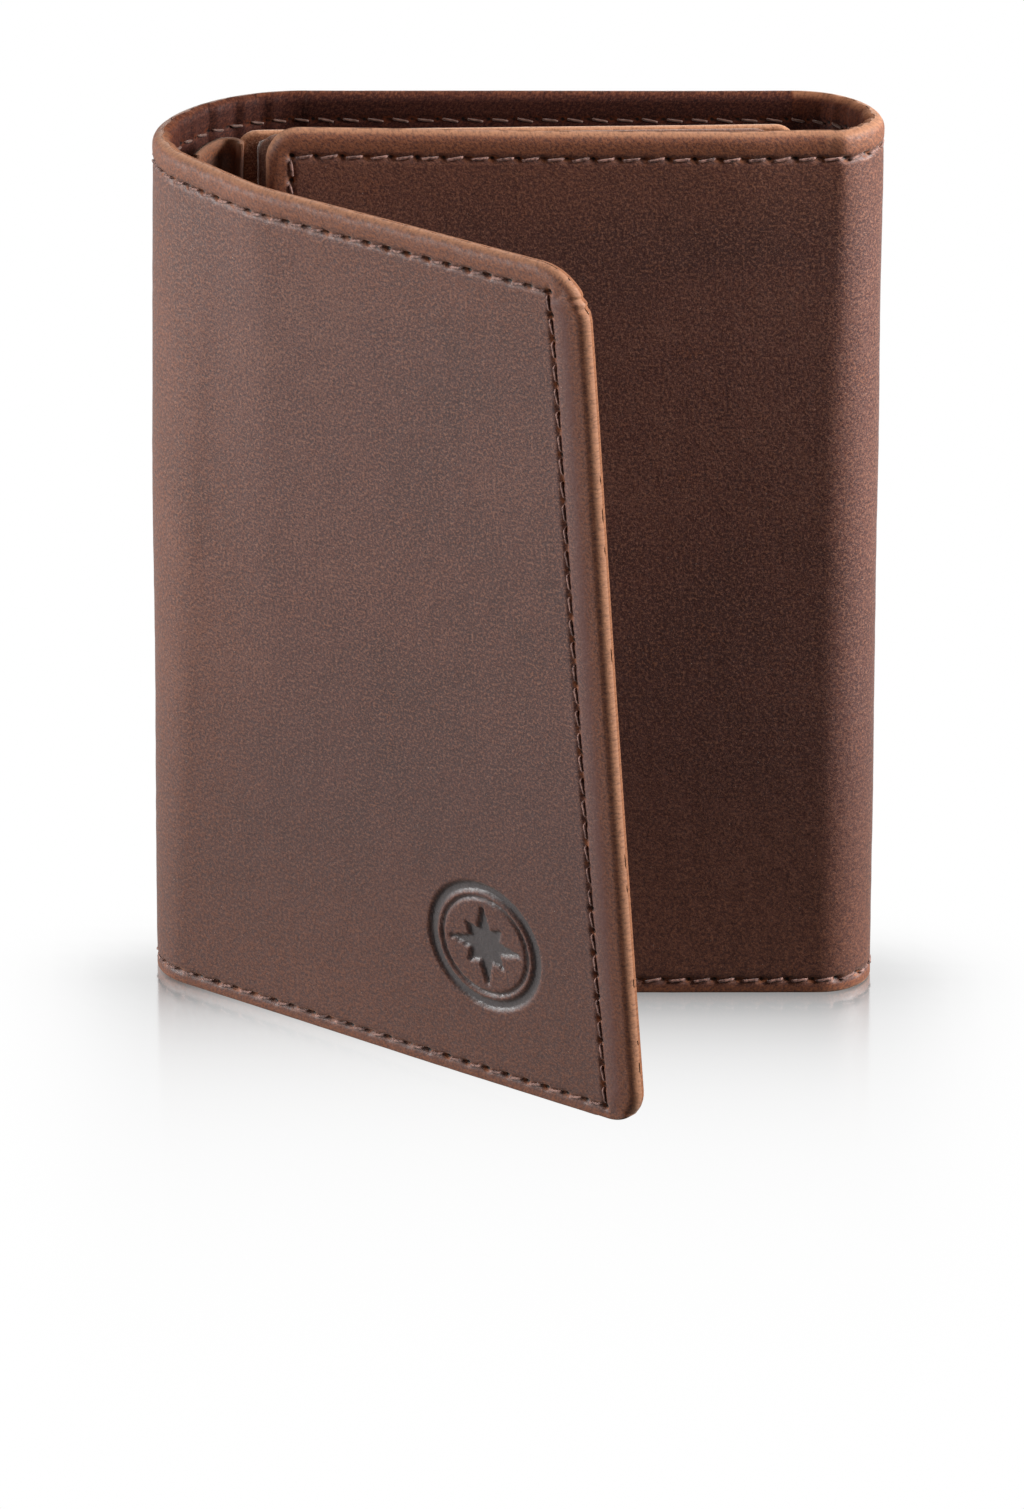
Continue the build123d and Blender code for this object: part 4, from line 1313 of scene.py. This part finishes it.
def makeFloor():
    # pale floor; the gloss is strongest where the wallet stands and fades in front of it
    marks = np.concatenate([[-1600, -1000, -600, -400], np.arange(-260, 261, 4.0), [400, 600, 1000, 1600]])
    x, y = np.meshgrid(marks, marks, indexing="ij")
    ahead = np.clip(-13.0 - y, 0, None)
    beside = np.clip(np.abs(x) - 40, 0, None)
    behind = np.clip(y + 12, 0, None)
    near = np.exp(-ahead / floorLook["fade"]) * np.exp(-(beside / 9) ** 2) * np.exp(-(behind / 9) ** 2)
    mesh = bpy.data.meshes.new("floor")
    points = np.stack([x, y, x * 0 - 0.02], -1).reshape(-1, 3) * mm
    quads = gridFaces(len(marks), len(marks))
    mesh.from_pydata([tuple(p) for p in points], [], [tuple(int(a) for a in f)[::-1] for f in quads])
    layer = mesh.color_attributes.new("near", "FLOAT_COLOR", "POINT")
    shade = np.exp(-ahead / 26) * np.exp(-(beside / 12) ** 2) * np.exp(-(behind / 9) ** 2)
    both = np.stack([near.ravel(), shade.ravel(), 0 * near.ravel(), 1 + 0 * near.ravel()], -1)
    layer.data.foreach_set("color", both.astype(np.float32).ravel())
    floor = bpy.data.objects.new("floor", mesh)
    bpy.context.collection.objects.link(floor)
    material = bpy.data.materials.new("pale_floor")
    material.use_nodes = True
    tree = material.node_tree
    tree.nodes.clear()
    out = tree.nodes.new("ShaderNodeOutputMaterial")
    glow = tree.nodes.new("ShaderNodeEmission")
    glow.inputs["Color"].default_value = (1, 1, 1, 1)
    glow.inputs["Strength"].default_value = 1.0
    gloss = tree.nodes.new("ShaderNodeBsdfGlossy")
    gloss.inputs["Roughness"].default_value = floorLook["roughness"]
    attribute = tree.nodes.new("ShaderNodeAttribute")
    attribute.attribute_name = "near"
    split = tree.nodes.new("ShaderNodeSeparateColor")
    tree.links.new(attribute.outputs["Color"], split.inputs[0])
    dim = tree.nodes.new("ShaderNodeMath")
    dim.operation = "MULTIPLY_ADD"
    dim.inputs[1].default_value = -floorLook["shade"]
    dim.inputs[2].default_value = 1.0
    tree.links.new(split.outputs[1], dim.inputs[0])
    tree.links.new(dim.outputs[0], glow.inputs["Strength"])
    share = tree.nodes.new("ShaderNodeMath")
    share.operation = "MULTIPLY"
    share.inputs[1].default_value = floorLook["gloss"]
    mixer = tree.nodes.new("ShaderNodeMixShader")
    tree.links.new(split.outputs[0], share.inputs[0])
    tree.links.new(share.outputs[0], mixer.inputs[0])
    tree.links.new(glow.outputs[0], mixer.inputs[1])
    tree.links.new(gloss.outputs[0], mixer.inputs[2])
    tree.links.new(mixer.outputs[0], out.inputs["Surface"])
    mesh.materials.append(material)
    floor.visible_diffuse = False
    floor.visible_glossy = False
    floor.visible_shadow = False


makeFloor()

# Lamps at the left and right, a weak one above, and a world that is bright at the sides.
lightLook = {
    "key": {"from": (-0.64, -0.07, 0.25), "size": 0.42, "power": 6.8},
    "top": {"from": (0.02, -0.10, 0.60), "size": 0.5, "power": 0.22},
    "side": {"from": (0.52, -0.075, 0.34), "size": 0.32, "power": 10.5},
    "worldDim": 0.03, "worldSides": 1.05, "worldRight": 0.5, "worldBehind": 0.9,
}


def areaLight(name, settings):
    data = bpy.data.lights.new(name, "AREA")
    data.shape = "SQUARE"
    data.size = settings["size"]
    data.energy = settings["power"]
    light = bpy.data.objects.new(name, data)
    light.location = settings["from"]
    light.rotation_euler = (Vector((0, -0.02, 0.055))
                            - Vector(settings["from"])).to_track_quat("-Z", "Y").to_euler()
    bpy.context.collection.objects.link(light)


for name in ("key", "top", "side"):
    areaLight(name + "_light", lightLook[name])
world = bpy.data.worlds.new("studio")
bpy.context.scene.world = world
world.use_nodes = True
worldTree = world.node_tree
background = worldTree.nodes["Background"]
direction = worldTree.nodes.new("ShaderNodeTexCoord")
parts = worldTree.nodes.new("ShaderNodeSeparateXYZ")
worldTree.links.new(direction.outputs["Generated"], parts.inputs[0])


def worldMaths(operation, a, b):
    node = worldTree.nodes.new("ShaderNodeMath")
    node.operation = operation
    for socket, value in zip(node.inputs, (a, b)):
        if hasattr(value, "is_output"):
            worldTree.links.new(value, socket)
        else:
            socket.default_value = value
    return node.outputs[0]


def worldRamp(value, low, high, most):
    node = worldTree.nodes.new("ShaderNodeMapRange")
    node.interpolation_type = "SMOOTHSTEP"
    for key, number in zip(("From Min", "From Max", "To Min", "To Max"), (low, high, 0.0, most)):
        node.inputs[key].default_value = number
    worldTree.links.new(value, node.inputs["Value"])
    return node.outputs["Result"]


# dim in front and above, bright walls at both sides and behind
sides = worldRamp(worldMaths("MULTIPLY", parts.outputs["X"], -1.0), 0.35, 0.95, lightLook["worldSides"])
sides = worldMaths("ADD", sides, worldRamp(parts.outputs["X"], 0.35, 0.95, lightLook["worldRight"]))
sides = worldMaths("MULTIPLY", sides,
                   worldMaths("SUBTRACT", 1.0, worldRamp(parts.outputs["Z"], 0.05, 0.5, 1.0)))
behindLight = worldRamp(parts.outputs["Y"], 0.72, 0.9, lightLook["worldBehind"])
glowing = worldMaths("ADD", worldMaths("ADD", sides, behindLight), lightLook["worldDim"])
worldTree.links.new(glowing, background.inputs["Strength"])
background.inputs["Color"].default_value = (1, 1, 1, 1)

cameraLook = {"lens": 242.4, "sensor": 36.0, "from": (0.00276, -1.1274, 0.486), "tilt": 67.72, "turn": 0.1635}
cameraData = bpy.data.cameras.new("camera")
cameraData.lens = cameraLook["lens"]
cameraData.sensor_width = cameraLook["sensor"]
camera = bpy.data.objects.new("camera", cameraData)
camera.location = cameraLook["from"]
camera.rotation_euler = (math.radians(cameraLook["tilt"]), 0.0, math.radians(cameraLook["turn"]))
bpy.context.collection.objects.link(camera)
bpy.context.scene.camera = camera
bpy.context.scene.view_settings.view_transform = "Standard"
